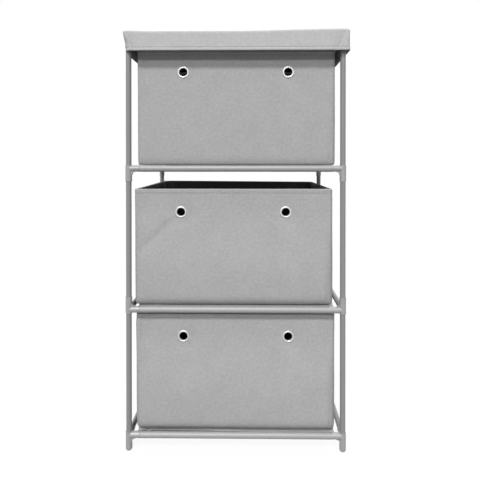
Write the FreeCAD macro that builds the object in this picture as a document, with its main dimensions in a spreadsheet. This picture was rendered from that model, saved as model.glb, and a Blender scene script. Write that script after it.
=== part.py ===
"""Fabric drawer dresser: a tube frame on moulded corner connectors, three stiffened fabric
drawers on sleeved fabric shelves, and a fabric cover over a top board.

Frame of the part: +Z up, front towards -Y, +X to the right, origin on the floor under the
middle of the frame. Millimetres.
"""

import FreeCAD, Part
import math
import os
import re

import Sketcher

# ---------------------------------------------------------------------------------------
# Driving dimensions: alias, value in millimetres, what it is
# ---------------------------------------------------------------------------------------

DIMENSIONS = [
    ("frame_width", 434, "post axis to post axis, left to right"),
    ("frame_depth", 312, "post axis to post axis, front to rear"),
    ("tube_diameter", 11, "outside of every steel tube"),
    ("tube_wall", 0.6, "steel tube wall"),
    ("post_length", 241.2, "each of the twelve post tubes"),
    ("socket_gap", 0.05, "between a tube and the socket round it, all round"),
    ("socket_wall", 0.95, "wall of every moulded socket"),
    ("socket_length", 22, "post axis to the mouth of a rail socket"),
    ("rail_shoulder", 1.5, "side of the moulded core to the end of a rail tube"),
    ("post_shoulder", 0.5, "side of the rail sockets to the post tube on the short side"),
    ("long_seat", 22.6, "rail axis to the post tube in the long arm"),
    ("top_seat", 14.9, "rail axis to the post tube in a top connector"),
    ("cup_depth", 3.4, "how far a post tube enters the cup of a long arm"),
    ("spigot_length", 14, "plug that each post tube is pushed over"),
    ("spigot_gap", 0.1, "between a plug and the bore of its tube, all round"),
    ("foot_height", 31.3, "floor to the lowest rail axis"),
    ("foot_rounding", 4.5, "rounding of the foot's end"),
    ("gusset_radius", 7, "hollow curve between a rail socket and the long arm"),
    ("gusset_width", 7, "thickness of the moulded gusset web"),
    ("shelf_end_gap", 2, "mouth of a rail socket to the end of the fabric shelf"),
    ("shelf_thickness", 0.7, "shelf fabric"),
    ("sleeve_gap", 0.1, "between a rail and the sleeve round it"),
    ("drawer_side_gap", 9.5, "drawer's side to the moulded sockets beside it"),
    ("drawer_headroom", 4.4, "drawer's top edge to the sleeve of the shelf above"),
    ("drawer_setback", 9.7, "front post axis to the drawer's face"),
    ("drawer_rear_gap", 2.3, "drawer's back to the rear post axis"),
    ("drawer_gap", 0.5, "between a drawer's bottom and the sockets under it"),
    ("middle_drawer_shift", 5, "how far the middle drawer stands to the left"),
    ("drawer_corner", 6, "outside radius of a drawer's upright corners"),
    ("drawer_fabric", 1, "outer fabric of a drawer"),
    ("drawer_board", 2.5, "stiffening board in each wall and in the base"),
    ("drawer_lining", 0.8, "inner fabric of a drawer"),
    ("hem_depth", 8, "doubled band of outer fabric round the mouth of a drawer"),
    ("hem_thickness", 0.6, "how far the doubled band stands off the wall"),
    ("eyelet_spacing", 215, "eyelet axis to eyelet axis"),
    ("eyelet_drop", 47.4, "drawer's top edge to the eyelet axes"),
    ("eyelet_bore", 16.5, "clear hole"),
    ("eyelet_flange", 24, "outside of the flange and of the washer"),
    ("eyelet_barrel", 0.8, "wall of the barrel"),
    ("eyelet_crown", 1.6, "how far the flange stands off the fabric"),
    ("eyelet_bevel", 1.2, "slope that rounds the flange off to its rim and to its hole"),
    ("eyelet_washer", 0.8, "rolled washer behind the lining"),
    ("eyelet_gap", 0.1, "between the barrel and the hole through the wall, all round"),
    ("board_side_overhang", 0.7, "how far the top board passes the sockets, each side"),
    ("board_end_overhang", 4.7, "how far the top board passes the sockets, front and rear"),
    ("top_board_thickness", 3, "board under the cover"),
    ("cover_gap", 1.6, "between the top board's edge and the cover's skirt"),
    ("cover_shift", 1.5, "how far the top board and its cover lie to the right"),
    ("cover_drop", 37.7, "top of the cover to its lower edge"),
    ("cover_fabric", 1.2, "cover fabric"),
    ("cover_corner", 3, "outside radius of the cover's upright corners"),
    ("fold_width", 21.5, "foot of the folded triangle at each front corner"),
    ("flap_gap", 0.3, "between the front flap and the cover round it"),
]

ALIASES = {alias for alias, _, _ in DIMENSIONS}

# Places that follow from the driving dimensions, as expressions
POST_X = "frame_width / 2"
POST_Y = "frame_depth / 2"
TUBE_RADIUS = "tube_diameter / 2"
TUBE_BORE = "(tube_diameter / 2 - tube_wall)"
SOCKET_BORE = "(tube_diameter / 2 + socket_gap)"
SOCKET_RADIUS = "(tube_diameter / 2 + socket_gap + socket_wall)"
SPIGOT_RADIUS = "(tube_diameter / 2 - tube_wall - spigot_gap)"
RAIL_SEAT = f"({SOCKET_RADIUS} + rail_shoulder)"
SHORT_SEAT = f"({SOCKET_RADIUS} + post_shoulder)"
GUSSET_CENTRE = f"({SOCKET_RADIUS} + gusset_radius)"

BOTTOM_LEVEL = "foot_height"
SHORT_STOREY = f"(post_length + 2 * {SHORT_SEAT})"
LOWER_LEVEL = f"({BOTTOM_LEVEL} + {SHORT_STOREY})"
UPPER_LEVEL = f"({LOWER_LEVEL} + post_length + 2 * long_seat)"
TOP_LEVEL = f"({UPPER_LEVEL} + post_length + {SHORT_SEAT} + top_seat)"

SLEEVE_BORE = "(tube_diameter / 2 + sleeve_gap)"
SLEEVE_RADIUS = f"({SLEEVE_BORE} + shelf_thickness)"
SHELF_WIDTH = "(frame_width - 2 * (socket_length + shelf_end_gap))"

DRAWER_LIFT = f"({SOCKET_RADIUS} + drawer_gap)"
DRAWER_WIDTH = f"(frame_width - 2 * ({SOCKET_RADIUS} + drawer_side_gap))"
DRAWER_DEPTH = "(frame_depth - drawer_setback - drawer_rear_gap)"
DRAWER_HEIGHT = f"({SHORT_STOREY} - {DRAWER_LIFT} - {SLEEVE_RADIUS} - drawer_headroom)"
DRAWER_Y = "((drawer_setback - drawer_rear_gap) / 2)"
WALL = "(drawer_fabric + drawer_board + drawer_lining)"

TOP_BOARD_WIDTH = f"(frame_width + 2 * ({SOCKET_RADIUS} + board_side_overhang))"
TOP_BOARD_DEPTH = f"(frame_depth + 2 * ({SOCKET_RADIUS} + board_end_overhang))"
COVER_WIDTH = f"({TOP_BOARD_WIDTH} + 2 * (cover_gap + cover_fabric))"
COVER_DEPTH = f"({TOP_BOARD_DEPTH} + 2 * (cover_gap + cover_fabric))"
TOP_BOARD_BASE = f"({TOP_LEVEL} + {SOCKET_RADIUS})"
COVER_UNDERSIDE = f"({TOP_BOARD_BASE} + top_board_thickness)"
COVER_TOP = f"({COVER_UNDERSIDE} + cover_fabric)"
COVER_EDGE = f"({COVER_TOP} - cover_drop)"

CUT_MARGIN = 1.0  # how far a cut runs past the face that it comes out of

doc = FreeCAD.newDocument("FabricDrawerDresser")


# ---------------------------------------------------------------------------------------
# Helpers
# ---------------------------------------------------------------------------------------

def make_sheet():
    """The spreadsheet that holds every driving dimension under its alias."""
    sheet = doc.addObject("Spreadsheet::Sheet", "Sizes")
    for row, (alias, value, note) in enumerate(DIMENSIONS, start=1):
        sheet.set(f"A{row}", str(value))
        sheet.setAlias(f"A{row}", alias)
        sheet.set(f"B{row}", f"'{note}")
    doc.recompute()
    return sheet


def expression(text):
    """The same expression with every alias written as a cell of the sheet."""
    return re.sub(r"[a-z_]+", lambda m: f"Sizes.{m[0]}" if m[0] in ALIASES else m[0], text)


def size(text):
    """The present value of an expression, in millimetres."""
    return float(sheet.evalExpression(expression(text)))


def bind(item, field, text):
    """Tie one property of an object to an expression of the sheet."""
    item.setExpression(field, expression(text))


def place(item, x="0", y="0", z="0"):
    """Set an object down at a point that is given as expressions."""
    for axis, text in (("x", x), ("y", y), ("z", z)):
        bind(item, f"Placement.Base.{axis}", text)


def new_body(label):
    body = doc.addObject("PartDesign::Body", label)
    body.Label = label
    return body


def new_sketch(body, plane, offset="0"):
    """A sketch on one of the body's own origin planes, moved along the plane's normal.

    The normals are +Z for XY, -Y for XZ and +X for YZ.
    """
    sketch = body.newObject("Sketcher::SketchObject", f"{body.Label}_sketch")
    face = next(f for f in body.Origin.OriginFeatures if f.Role == f"{plane}_Plane")
    sketch.AttachmentSupport = [(face, "")]
    sketch.MapMode = "FlatFace"
    bind(sketch, "AttachmentOffset.Base.z", offset)
    return sketch


def constrain(sketch, text, kind, *where):
    """Add a dimensional constraint whose value is an expression."""
    index = sketch.addConstraint(Sketcher.Constraint(kind, *where, size(text)))
    sketch.setExpression(f"Constraints[{index}]", expression(text))


def pin_point(sketch, geometry, point, x, y):
    """Hold a point of the sketch at the place that two expressions give."""
    for kind, text, axis in (("DistanceX", x, -2), ("DistanceY", y, -1)):
        if text == "0":
            sketch.addConstraint(Sketcher.Constraint("PointOnObject", geometry, point, axis))
        else:
            constrain(sketch, text, kind, -1, 1, geometry, point)


def circle(sketch, radius, x="0", y="0"):
    """A circle whose radius and centre are expressions."""
    centre = FreeCAD.Vector(size(x), size(y), 0)
    normal = FreeCAD.Vector(0, 0, 1)
    index = sketch.addGeometry(Part.Circle(centre, normal, size(radius)), False)
    constrain(sketch, radius, "Radius", index)
    pin_point(sketch, index, 3, x, y)
    return index


def outline(sketch, points, arcs=None):
    """A closed outline through points that are given as expressions.

    Its edges are straight, except those whose number is in arcs, with the centre's two
    expressions, the radius and the turn: 1 anticlockwise, -1 clockwise.
    """
    arcs = arcs or {}
    count = len(points)
    ends = []
    for step, (x, y) in enumerate(points):
        next_x, next_y = points[(step + 1) % count]
        start = FreeCAD.Vector(size(x), size(y), 0)
        end = FreeCAD.Vector(size(next_x), size(next_y), 0)
        if step in arcs:
            ends.append(arc(sketch, start, end, *arcs[step]))
        else:
            ends.append((sketch.addGeometry(Part.LineSegment(start, end), False), 1, 2))
    for step, (x, y) in enumerate(points):
        before, _, before_end = ends[step - 1]
        edge, edge_start, _ = ends[step]
        meeting = Sketcher.Constraint("Coincident", before, before_end, edge, edge_start)
        sketch.addConstraint(meeting)
        pin_point(sketch, edge, edge_start, x, y)


def arc(sketch, start, end, centre_x, centre_y, radius, turn):
    """An arc between two points: its number, and its own ends that lie at start and end."""
    centre = FreeCAD.Vector(size(centre_x), size(centre_y), 0)
    angles = [math.atan2((p - centre).y, (p - centre).x) for p in (start, end)]
    full = Part.Circle(centre, FreeCAD.Vector(0, 0, 1), size(radius))
    if turn > 0:
        index = sketch.addGeometry(Part.ArcOfCircle(full, *angles), False)
        ends = (1, 2)
    else:
        index = sketch.addGeometry(Part.ArcOfCircle(full, *reversed(angles)), False)
        ends = (2, 1)
    constrain(sketch, radius, "Radius", index)
    return index, *ends


def rectangle(sketch, x_low, x_high, y_low, y_high):
    """A closed rectangle between four expressions."""
    outline(sketch, [(x_low, y_low), (x_high, y_low), (x_high, y_high), (x_low, y_high)])


def half(text, sign=1):
    """Half of an expression, to one side of the middle or the other."""
    return f"({text}) / 2" if sign > 0 else f"-({text}) / 2"


def centred_rectangle(sketch, width, depth):
    """A closed rectangle about the sketch's origin."""
    rectangle(sketch, half(width, -1), half(width), half(depth, -1), half(depth))


def add(body, kind, sketch, length=None, reverse=False, midplane=False, name=None):
    """A Pad or a Pocket of a sketch, with its length bound to an expression."""
    feature = body.newObject(f"PartDesign::{kind}", name or f"{body.Label}_{kind.lower()}")
    feature.Profile = sketch
    bind(feature, "Length", length)
    feature.Reversed = reverse
    feature.Midplane = midplane
    doc.recompute()
    return feature


def turn_about_upright(body, sketch):
    """A full Revolution of a sketch about its own upright axis."""
    feature = body.newObject("PartDesign::Revolution", f"{body.Label}_turned")
    feature.Profile = sketch
    feature.ReferenceAxis = (sketch, ["V_Axis"])
    feature.Angle = 360
    doc.recompute()
    return feature


def round_edges(body, feature, radius, chosen):
    """A fillet on those edges of a feature that the test picks out."""
    names = [f"Edge{i}" for i, edge in enumerate(feature.Shape.Edges, start=1) if chosen(edge)]
    fillet = body.newObject("PartDesign::Fillet", f"{body.Label}_rounding")
    fillet.Base = (feature, names)
    bind(fillet, "Radius", radius)
    doc.recompute()
    return fillet


def is_upright(edge):
    """True for a straight edge along Z."""
    if not isinstance(edge.Curve, (Part.Line, Part.LineSegment)):
        return False
    return abs(edge.tangentAt(edge.FirstParameter).z) > 0.999


def mirrored(source, axis, base="0"):
    """The mirror image of an object across a plane square to the X or the Y axis."""
    image = doc.addObject("Part::Mirroring", f"{source.Label}_mirrored")
    image.Source = source
    image.Normal = FreeCAD.Vector(axis == "x", axis == "y", 0)
    bind(image, f"Base.{axis}", base)
    return image


def group(label, members):
    """Several like solids as one sub-part."""
    compound = doc.addObject("Part::Compound", label)
    compound.Label = label
    compound.Links = members
    return compound


# ---------------------------------------------------------------------------------------
# Steel tubes
# ---------------------------------------------------------------------------------------

def tube(label, plane, length, x, y, z):
    """A plain steel tube, square to one origin plane and centred on a point."""
    body = new_body(label)
    section = new_sketch(body, plane)
    circle(section, TUBE_RADIUS)
    circle(section, TUBE_BORE)
    add(body, "Pad", section, length, midplane=True)
    place(body, x, y, z)
    return body


def posts():
    """Twelve post tubes: four corners, three storeys."""
    storeys = (
        ("lower", f"{BOTTOM_LEVEL} + {SHORT_SEAT}"),
        ("middle", f"{LOWER_LEVEL} + long_seat"),
        ("upper", f"{UPPER_LEVEL} + {SHORT_SEAT}"),
    )
    made = []
    for storey, base in storeys:
        for end, y in (("front", f"-{POST_Y}"), ("rear", POST_Y)):
            for side, x in (("left", f"-{POST_X}"), ("right", POST_X)):
                label = f"{storey}_{end}_{side}_post"
                made.append(tube(label, "XY", "post_length", x, y, f"{base} + post_length / 2"))
    return made


def rails():
    """Sixteen rail tubes: a ring of four at each of four levels."""
    across = f"frame_width - 2 * {RAIL_SEAT}"
    along = f"frame_depth - 2 * {RAIL_SEAT}"
    levels = (
        ("bottom", BOTTOM_LEVEL),
        ("lower", LOWER_LEVEL),
        ("upper", UPPER_LEVEL),
        ("top", TOP_LEVEL),
    )
    made = []
    for level, z in levels:
        made.append(tube(f"{level}_front_rail", "YZ", across, "0", f"-{POST_Y}", z))
        made.append(tube(f"{level}_rear_rail", "YZ", across, "0", POST_Y, z))
        made.append(tube(f"{level}_left_rail", "XZ", along, f"-{POST_X}", "0", z))
        made.append(tube(f"{level}_right_rail", "XZ", along, POST_X, "0", z))
    return made


# ---------------------------------------------------------------------------------------
# Moulded corner connectors
# ---------------------------------------------------------------------------------------

def foot_profile():
    """Half section of the upright core of a foot connector: foot below, plug above."""
    plug_top = f"{SHORT_SEAT} + spigot_length"
    return [
        ("0", "-foot_height"),
        (SOCKET_RADIUS, "-foot_height"),
        (SOCKET_RADIUS, SHORT_SEAT),
        (SPIGOT_RADIUS, SHORT_SEAT),
        (SPIGOT_RADIUS, plug_top),
        ("0", plug_top),
    ]


def cup_profile(seat, sign):
    """The end of a long arm in half section: the cup's lip, its floor and the plug."""
    lip = f"{sign}({seat} + cup_depth)"
    floor = f"{sign}({seat})"
    plug = f"{sign}({seat} + spigot_length)"
    return [
        (SOCKET_RADIUS, lip),
        (SOCKET_BORE, lip),
        (SOCKET_BORE, floor),
        (SPIGOT_RADIUS, floor),
        (SPIGOT_RADIUS, plug),
        ("0", plug),
    ]


def middle_profile(sign):
    """Half section of a middle connector's core, with its long arm up ("") or down ("-")."""
    other = "-" if sign == "" else ""
    plug = f"{other}({SHORT_SEAT} + spigot_length)"
    shoulder = f"{other}{SHORT_SEAT}"
    return [
        ("0", plug),
        (SPIGOT_RADIUS, plug),
        (SPIGOT_RADIUS, shoulder),
        (SOCKET_RADIUS, shoulder),
    ] + cup_profile("long_seat", sign)


def top_profile():
    """Half section of a top connector's core: closed above, cup and plug below."""
    return [("0", SOCKET_RADIUS), (SOCKET_RADIUS, SOCKET_RADIUS)] + cup_profile("top_seat", "-")


def add_gusset(body, plane, sign):
    """A hollow-edged web between the long arm and the rail socket of one origin plane."""
    section = new_sketch(body, plane)
    reach = GUSSET_CENTRE
    corners = [
        ("0", "0"),
        (reach, "0"),
        (reach, f"{sign}{SOCKET_RADIUS}"),
        (SOCKET_RADIUS, f"{sign}{reach}"),
        ("0", f"{sign}{reach}"),
    ]
    turn = 1 if sign == "-" else -1
    outline(section, corners, {2: (reach, f"{sign}{reach}", "gusset_radius", turn)})
    add(body, "Pad", section, "gusset_width", midplane=True)


def connectors(label, level, profile, sign):
    """Four connectors of one level, with their gussets on the long arm's side.

    The front left one is modelled, with its rail sockets along +X and +Y, and mirrored to
    the other corners.
    """
    body = new_body(f"{label}_front_left")
    core_sketch = new_sketch(body, "XZ")
    outline(core_sketch, profile)
    core = turn_about_upright(body, core_sketch)
    if label == "foot_connectors":
        floor = -size("foot_height")
        round_edges(body, core, "foot_rounding", lambda edge: is_level_at(edge, floor))
    for plane, reverse in (("YZ", False), ("XZ", True)):
        socket = new_sketch(body, plane)
        circle(socket, SOCKET_RADIUS)
        add(body, "Pad", socket, "socket_length", reverse=reverse)
    for plane in ("XZ", "YZ"):
        add_gusset(body, plane, sign)
    for plane, offset in (("YZ", "socket_length"), ("XZ", "-socket_length")):
        bore = new_sketch(body, plane, offset)
        circle(bore, SOCKET_BORE)
        add(body, "Pocket", bore, f"socket_length - {RAIL_SEAT}", reverse=plane == "XZ")
    place(body, f"-{POST_X}", f"-{POST_Y}", level)
    right = mirrored(body, "x")
    return group(label, [body, right, mirrored(body, "y"), mirrored(right, "y")])


def is_level_at(edge, height):
    """True for an edge that lies flat at one height."""
    box = edge.BoundBox
    return abs(box.ZMin - height) < 0.01 and abs(box.ZMax - height) < 0.01


# ---------------------------------------------------------------------------------------
# Fabric shelves, top board and cover
# ---------------------------------------------------------------------------------------

def shelf(label, level):
    """A fabric shelf: a web between two sleeves that go round the front and rear rails."""
    body = new_body(label)
    web = new_sketch(body, "YZ")
    rectangle(web, f"-{POST_Y}", POST_Y, SLEEVE_BORE, SLEEVE_RADIUS)
    add(body, "Pad", web, SHELF_WIDTH, midplane=True)
    sleeves = new_sketch(body, "YZ")
    bores = new_sketch(body, "YZ")
    for y in (f"-{POST_Y}", POST_Y):
        circle(sleeves, SLEEVE_RADIUS, y)
        circle(bores, SLEEVE_BORE, y)
    add(body, "Pad", sleeves, SHELF_WIDTH, midplane=True)
    add(body, "Pocket", bores, f"{SHELF_WIDTH} + {CUT_MARGIN}", midplane=True)
    place(body, z=level)
    return body


def top_board():
    """The stiff board that lies on the top connectors and carries the cover."""
    body = new_body("top_board")
    plan = new_sketch(body, "XY")
    centred_rectangle(plan, TOP_BOARD_WIDTH, TOP_BOARD_DEPTH)
    board = add(body, "Pad", plan, "top_board_thickness")
    round_edges(body, board, "cover_corner", is_upright)
    place(body, "cover_shift", z=TOP_BOARD_BASE)
    return body


def top_cover():
    """The fitted cover: top panel, side and rear skirts, folded triangles at the front."""
    body = new_body("top_cover")
    plan = new_sketch(body, "XY")
    centred_rectangle(plan, COVER_WIDTH, COVER_DEPTH)
    block = add(body, "Pad", plan, "cover_drop")
    round_edges(body, block, "cover_corner", is_upright)
    inside = new_sketch(body, "XY")
    wall = "2 * cover_fabric"
    centred_rectangle(inside, f"{COVER_WIDTH} - {wall}", f"{COVER_DEPTH} - {wall}")
    add(body, "Pocket", inside, "cover_drop - cover_fabric", reverse=True)
    mouth = new_sketch(body, "XZ", f"{COVER_DEPTH} / 2")
    outline(mouth, front_opening("0"))
    add(body, "Pocket", mouth, f"cover_fabric + {CUT_MARGIN}")
    place(body, "cover_shift", z=COVER_EDGE)
    return body


def front_opening(inset):
    """Outline of the cover's front between its two folded triangles, from the lower edge."""
    foot = f"({COVER_WIDTH} / 2 - fold_width - {inset})"
    head = f"({COVER_WIDTH} / 2 - cover_fabric - {inset})"
    above = "(cover_drop - cover_fabric)"
    return [(f"-{foot}", "0"), (foot, "0"), (head, above), (f"-{head}", above)]


def front_flap():
    """The front skirt, which hangs just behind the folded triangles and lifts freely."""
    body = new_body("top_cover_front_flap")
    front = new_sketch(body, "XZ", f"{COVER_DEPTH} / 2 - cover_fabric - flap_gap")
    reach = f"({COVER_WIDTH} / 2 - cover_fabric - flap_gap)"
    rectangle(front, f"-{reach}", reach, "0", "cover_drop - cover_fabric")
    add(body, "Pad", front, "cover_fabric", reverse=True)
    place(body, "cover_shift", z=COVER_EDGE)
    return body


# ---------------------------------------------------------------------------------------
# Drawers
# ---------------------------------------------------------------------------------------

def drawer_plan(body, inset, height):
    """A rectangle inside the drawer's outline, at a height above the drawer's bottom."""
    plan = new_sketch(body, "XY", height)
    width = f"{DRAWER_WIDTH} - 2 * ({inset})"
    depth = f"{DRAWER_DEPTH} - 2 * ({inset})"
    centred_rectangle(plan, width, depth)
    return plan


def cut_eyelet_holes(body):
    """Two holes through the front wall, clear of the eyelets' barrels."""
    face = new_sketch(body, "XZ", f"{DRAWER_DEPTH} / 2")
    radius = "eyelet_bore / 2 + eyelet_barrel + eyelet_gap"
    for x in ("-eyelet_spacing / 2", "eyelet_spacing / 2"):
        circle(face, radius, x, f"{DRAWER_HEIGHT} - eyelet_drop")
    add(body, "Pocket", face, f"{WALL} + {CUT_MARGIN}", name=f"{body.Label}_eyelet_holes")


def drawer_shell(label):
    """Outer fabric: floor, four walls with a doubled hem, and the rim turned in on top."""
    body = new_body(label)
    add(body, "Pad", drawer_plan(body, "0", "0"), DRAWER_HEIGHT)
    hem = drawer_plan(body, "-hem_thickness", DRAWER_HEIGHT)
    block = add(body, "Pad", hem, "hem_depth", reverse=True)
    round_edges(body, block, "drawer_corner", is_upright)
    under_rim = f"({DRAWER_HEIGHT} - drawer_fabric)"
    hollow = drawer_plan(body, "drawer_fabric", under_rim)
    add(body, "Pocket", hollow, f"{under_rim} - drawer_fabric")
    mouth = drawer_plan(body, WALL, DRAWER_HEIGHT)
    add(body, "Pocket", mouth, f"drawer_fabric + {CUT_MARGIN}")
    cut_eyelet_holes(body)
    return body


def drawer_lining(label):
    """Inner fabric: floor and four walls inside the boards, up to under the rim."""
    body = new_body(label)
    inset = "(drawer_fabric + drawer_board)"
    rise = f"({DRAWER_HEIGHT} - drawer_fabric - {inset})"
    add(body, "Pad", drawer_plan(body, inset, inset), rise)
    inside = drawer_plan(body, f"({inset} + drawer_lining)", f"{DRAWER_HEIGHT} - drawer_fabric")
    add(body, "Pocket", inside, f"{rise} - drawer_lining")
    cut_eyelet_holes(body)
    return body


def wall_board(label, end):
    """The board in the front (-1) or the back (1) wall."""
    body = new_body(label)
    plan = new_sketch(body, "XY", "drawer_fabric")
    reach = f"({DRAWER_WIDTH} / 2 - drawer_corner)"
    outer = f"({DRAWER_DEPTH} / 2 - drawer_fabric)"
    inner = f"({outer} - drawer_board)"
    low, high = (f"-{outer}", f"-{inner}") if end < 0 else (inner, outer)
    rectangle(plan, f"-{reach}", reach, low, high)
    add(body, "Pad", plan, f"{DRAWER_HEIGHT} - 2 * drawer_fabric")
    if end < 0:
        cut_eyelet_holes(body)
    return body


def side_board(label):
    """The board in the left wall."""
    body = new_body(label)
    plan = new_sketch(body, "XY", "drawer_fabric")
    outer = f"({DRAWER_WIDTH} / 2 - drawer_fabric)"
    reach = f"({DRAWER_DEPTH} / 2 - drawer_corner)"
    rectangle(plan, f"-{outer}", f"-({outer} - drawer_board)", f"-{reach}", reach)
    add(body, "Pad", plan, f"{DRAWER_HEIGHT} - 2 * drawer_fabric")
    return body


def base_board(label):
    """The loose board that lies in the bottom of the drawer, under the lining."""
    body = new_body(label)
    plan = drawer_plan(body, "(drawer_fabric + drawer_board)", "drawer_fabric")
    add(body, "Pad", plan, "drawer_board")
    return body


def eyelet(label):
    """The left eyelet, turned about its axis: bevelled flange, barrel and rolled washer."""
    body = new_body(label)
    section = new_sketch(body, "XY")
    face = f"{DRAWER_DEPTH} / 2"
    bore = "eyelet_bore / 2"
    barrel = "(eyelet_bore / 2 + eyelet_barrel)"
    flange = "eyelet_flange / 2"
    lining_face = f"({face} - {WALL})"
    washer_back = f"({lining_face} - eyelet_washer)"
    crown_face = f"({face} + eyelet_crown)"
    profile = [
        (bore, f"-{washer_back}"),
        (flange, f"-{washer_back}"),
        (flange, f"-{lining_face}"),
        (barrel, f"-{lining_face}"),
        (barrel, f"-{face}"),
        (flange, f"-{face}"),
        (f"{flange} - eyelet_bevel", f"-{crown_face}"),
        (f"{bore} + eyelet_bevel", f"-{crown_face}"),
        (bore, f"-{face}"),
    ]
    outline(section, profile)
    turn_about_upright(body, section)
    return body


def drawer(name, level, x):
    """One drawer: seven sub-parts, set down on its shelf."""
    z = f"{level} + {DRAWER_LIFT}"
    single = [
        drawer_shell(f"{name}_shell"),
        drawer_lining(f"{name}_lining"),
        wall_board(f"{name}_front_board", -1),
        wall_board(f"{name}_back_board", 1),
        base_board(f"{name}_base_board"),
    ]
    left_board = side_board(f"{name}_left_board")
    left_eyelet = eyelet(f"{name}_left_eyelet")
    for body in single + [left_board]:
        place(body, x, DRAWER_Y, z)
    eyelet_z = f"{z} + {DRAWER_HEIGHT} - eyelet_drop"
    place(left_eyelet, f"{x} - eyelet_spacing / 2", DRAWER_Y, eyelet_z)
    side_boards = group(f"{name}_side_boards", [left_board, mirrored(left_board, "x", x)])
    eyelets = group(f"{name}_eyelets", [left_eyelet, mirrored(left_eyelet, "x", x)])
    return single + [side_boards, eyelets]


# ---------------------------------------------------------------------------------------
# Build, check and write
# ---------------------------------------------------------------------------------------

sheet = make_sheet()

nodes = posts() + rails()
nodes.append(connectors("foot_connectors", BOTTOM_LEVEL, foot_profile(), "-"))
nodes.append(connectors("lower_connectors", LOWER_LEVEL, middle_profile(""), ""))
nodes.append(connectors("upper_connectors", UPPER_LEVEL, middle_profile("-"), "-"))
nodes.append(connectors("top_connectors", TOP_LEVEL, top_profile(), "-"))
nodes.append(shelf("bottom_shelf", BOTTOM_LEVEL))
nodes.append(shelf("lower_shelf", LOWER_LEVEL))
nodes.append(shelf("upper_shelf", UPPER_LEVEL))
nodes += [top_board(), top_cover(), front_flap()]
nodes += drawer("bottom_drawer", BOTTOM_LEVEL, "0")
nodes += drawer("middle_drawer", LOWER_LEVEL, "-middle_drawer_shift")
nodes += drawer("top_drawer", UPPER_LEVEL, "0")
doc.recompute()

for item in doc.Objects:
    if "Invalid" in item.State or "Error" in item.State:
        raise RuntimeError(f"{item.Label} failed: {item.State}")

for node in nodes:
    if node.Shape.isNull() or not node.Shape.isValid() or not node.Shape.Solids:
        raise RuntimeError(f"{node.Label} has no valid solid")

os.makedirs("parts", exist_ok=True)
for node in nodes:
    node.Shape.exportStep(f"parts/{node.Label}.step")

print(f"{len(nodes)} sub-parts, {sum(len(node.Shape.Solids) for node in nodes)} solids")
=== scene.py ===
"""Fabric drawer dresser: finishes, sewn cloth and light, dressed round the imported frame.

Lengths are metres. +Z is up, the drawers' faces look towards -Y, +X is to the right, and the
origin is on the floor under the middle of the tube frame.
"""

import logging
import math
from collections.abc import Sequence
from dataclasses import dataclass
from enum import Enum

import bmesh
import bpy
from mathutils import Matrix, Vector, noise


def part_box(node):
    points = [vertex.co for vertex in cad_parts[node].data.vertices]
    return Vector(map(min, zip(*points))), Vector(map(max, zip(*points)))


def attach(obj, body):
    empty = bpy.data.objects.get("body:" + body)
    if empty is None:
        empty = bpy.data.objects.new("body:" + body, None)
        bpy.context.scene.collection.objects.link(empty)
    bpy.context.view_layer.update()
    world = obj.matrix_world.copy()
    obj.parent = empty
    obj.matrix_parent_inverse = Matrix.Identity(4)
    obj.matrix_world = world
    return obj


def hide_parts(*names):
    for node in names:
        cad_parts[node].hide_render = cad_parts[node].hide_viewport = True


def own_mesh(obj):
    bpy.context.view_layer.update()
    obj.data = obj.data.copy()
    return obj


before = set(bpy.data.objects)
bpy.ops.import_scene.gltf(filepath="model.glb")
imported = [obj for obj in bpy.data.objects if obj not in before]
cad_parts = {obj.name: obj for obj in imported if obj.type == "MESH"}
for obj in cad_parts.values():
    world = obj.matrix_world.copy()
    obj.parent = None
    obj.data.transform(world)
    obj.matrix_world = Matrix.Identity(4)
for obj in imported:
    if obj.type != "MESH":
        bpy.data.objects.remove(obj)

MM = 0.001
CLOTH_MAP = "Cloth"
UP = Vector((0.0, 0.0, 1.0))
FORWARD = Vector((0.0, -1.0, 0.0))

# Stretches in the turn of a plan's corner, and what counts as straight out of a wall.
TURN_STEPS = 6
STRAIGHT = 0.99
NEARLY_STRAIGHT = 0.9

# Sockets of a Mix node, which has several of one name.
FIRST_NUMBER, SECOND_NUMBER = 2, 3
FIRST_COLOUR, SECOND_COLOUR, MIXED_COLOUR = 6, 7, 2

log = logging.getLogger("dresser")

Pair = tuple[float, float]
Profile = list[Pair]
Socket = bpy.types.NodeSocket
Piece = bpy.types.Object
Material = bpy.types.Material
Shape = bmesh.types.BMesh


# ---- Small helpers ----

def smoothstep(low: float, high: float, value: float) -> float:
    """Rise smoothly from 0 at low to 1 at high.

    Args:
        low: Where the rise starts. It may lie above high, and then the rise runs backwards.
        high: Where the rise ends.
        value: The place to measure.

    Returns:
        A share from 0 to 1.
    """
    share = min(1.0, max(0.0, (value - low) / (high - low)))
    return share * share * (3.0 - 2.0 * share)


def mix(first: float, second: float, share: float) -> float:
    """Return the value that lies a share of the way from first to second."""
    return first + (second - first) * share


@dataclass(frozen=True)
class Waves:
    """Smooth unevenness of cloth.

    Attributes:
        depth: How far it goes to either side.
        length: Distance from one swell to the next.
        offset: Added to a piece's seed.
    """

    depth: float
    length: float
    offset: float = 0.0

    def share(self, place: Vector, seed: float) -> float:
        """The unevenness at a place, from about -1 to 1."""
        start = seed + self.offset
        return noise.noise(place / self.length + Vector((start, start, start)))

    def at(self, place: Vector, seed: float) -> float:
        """The unevenness at a place, to either side."""
        return self.depth * self.share(place, seed)

    def above(self, place: Vector, seed: float) -> float:
        """The same on one side alone, from zero up to twice the depth."""
        return self.depth * (1.0 + self.share(place, seed))


def even_grey(grey: float) -> tuple[float, float, float, float]:
    """Return a neutral colour."""
    return (grey, grey, grey, 1.0)


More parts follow.
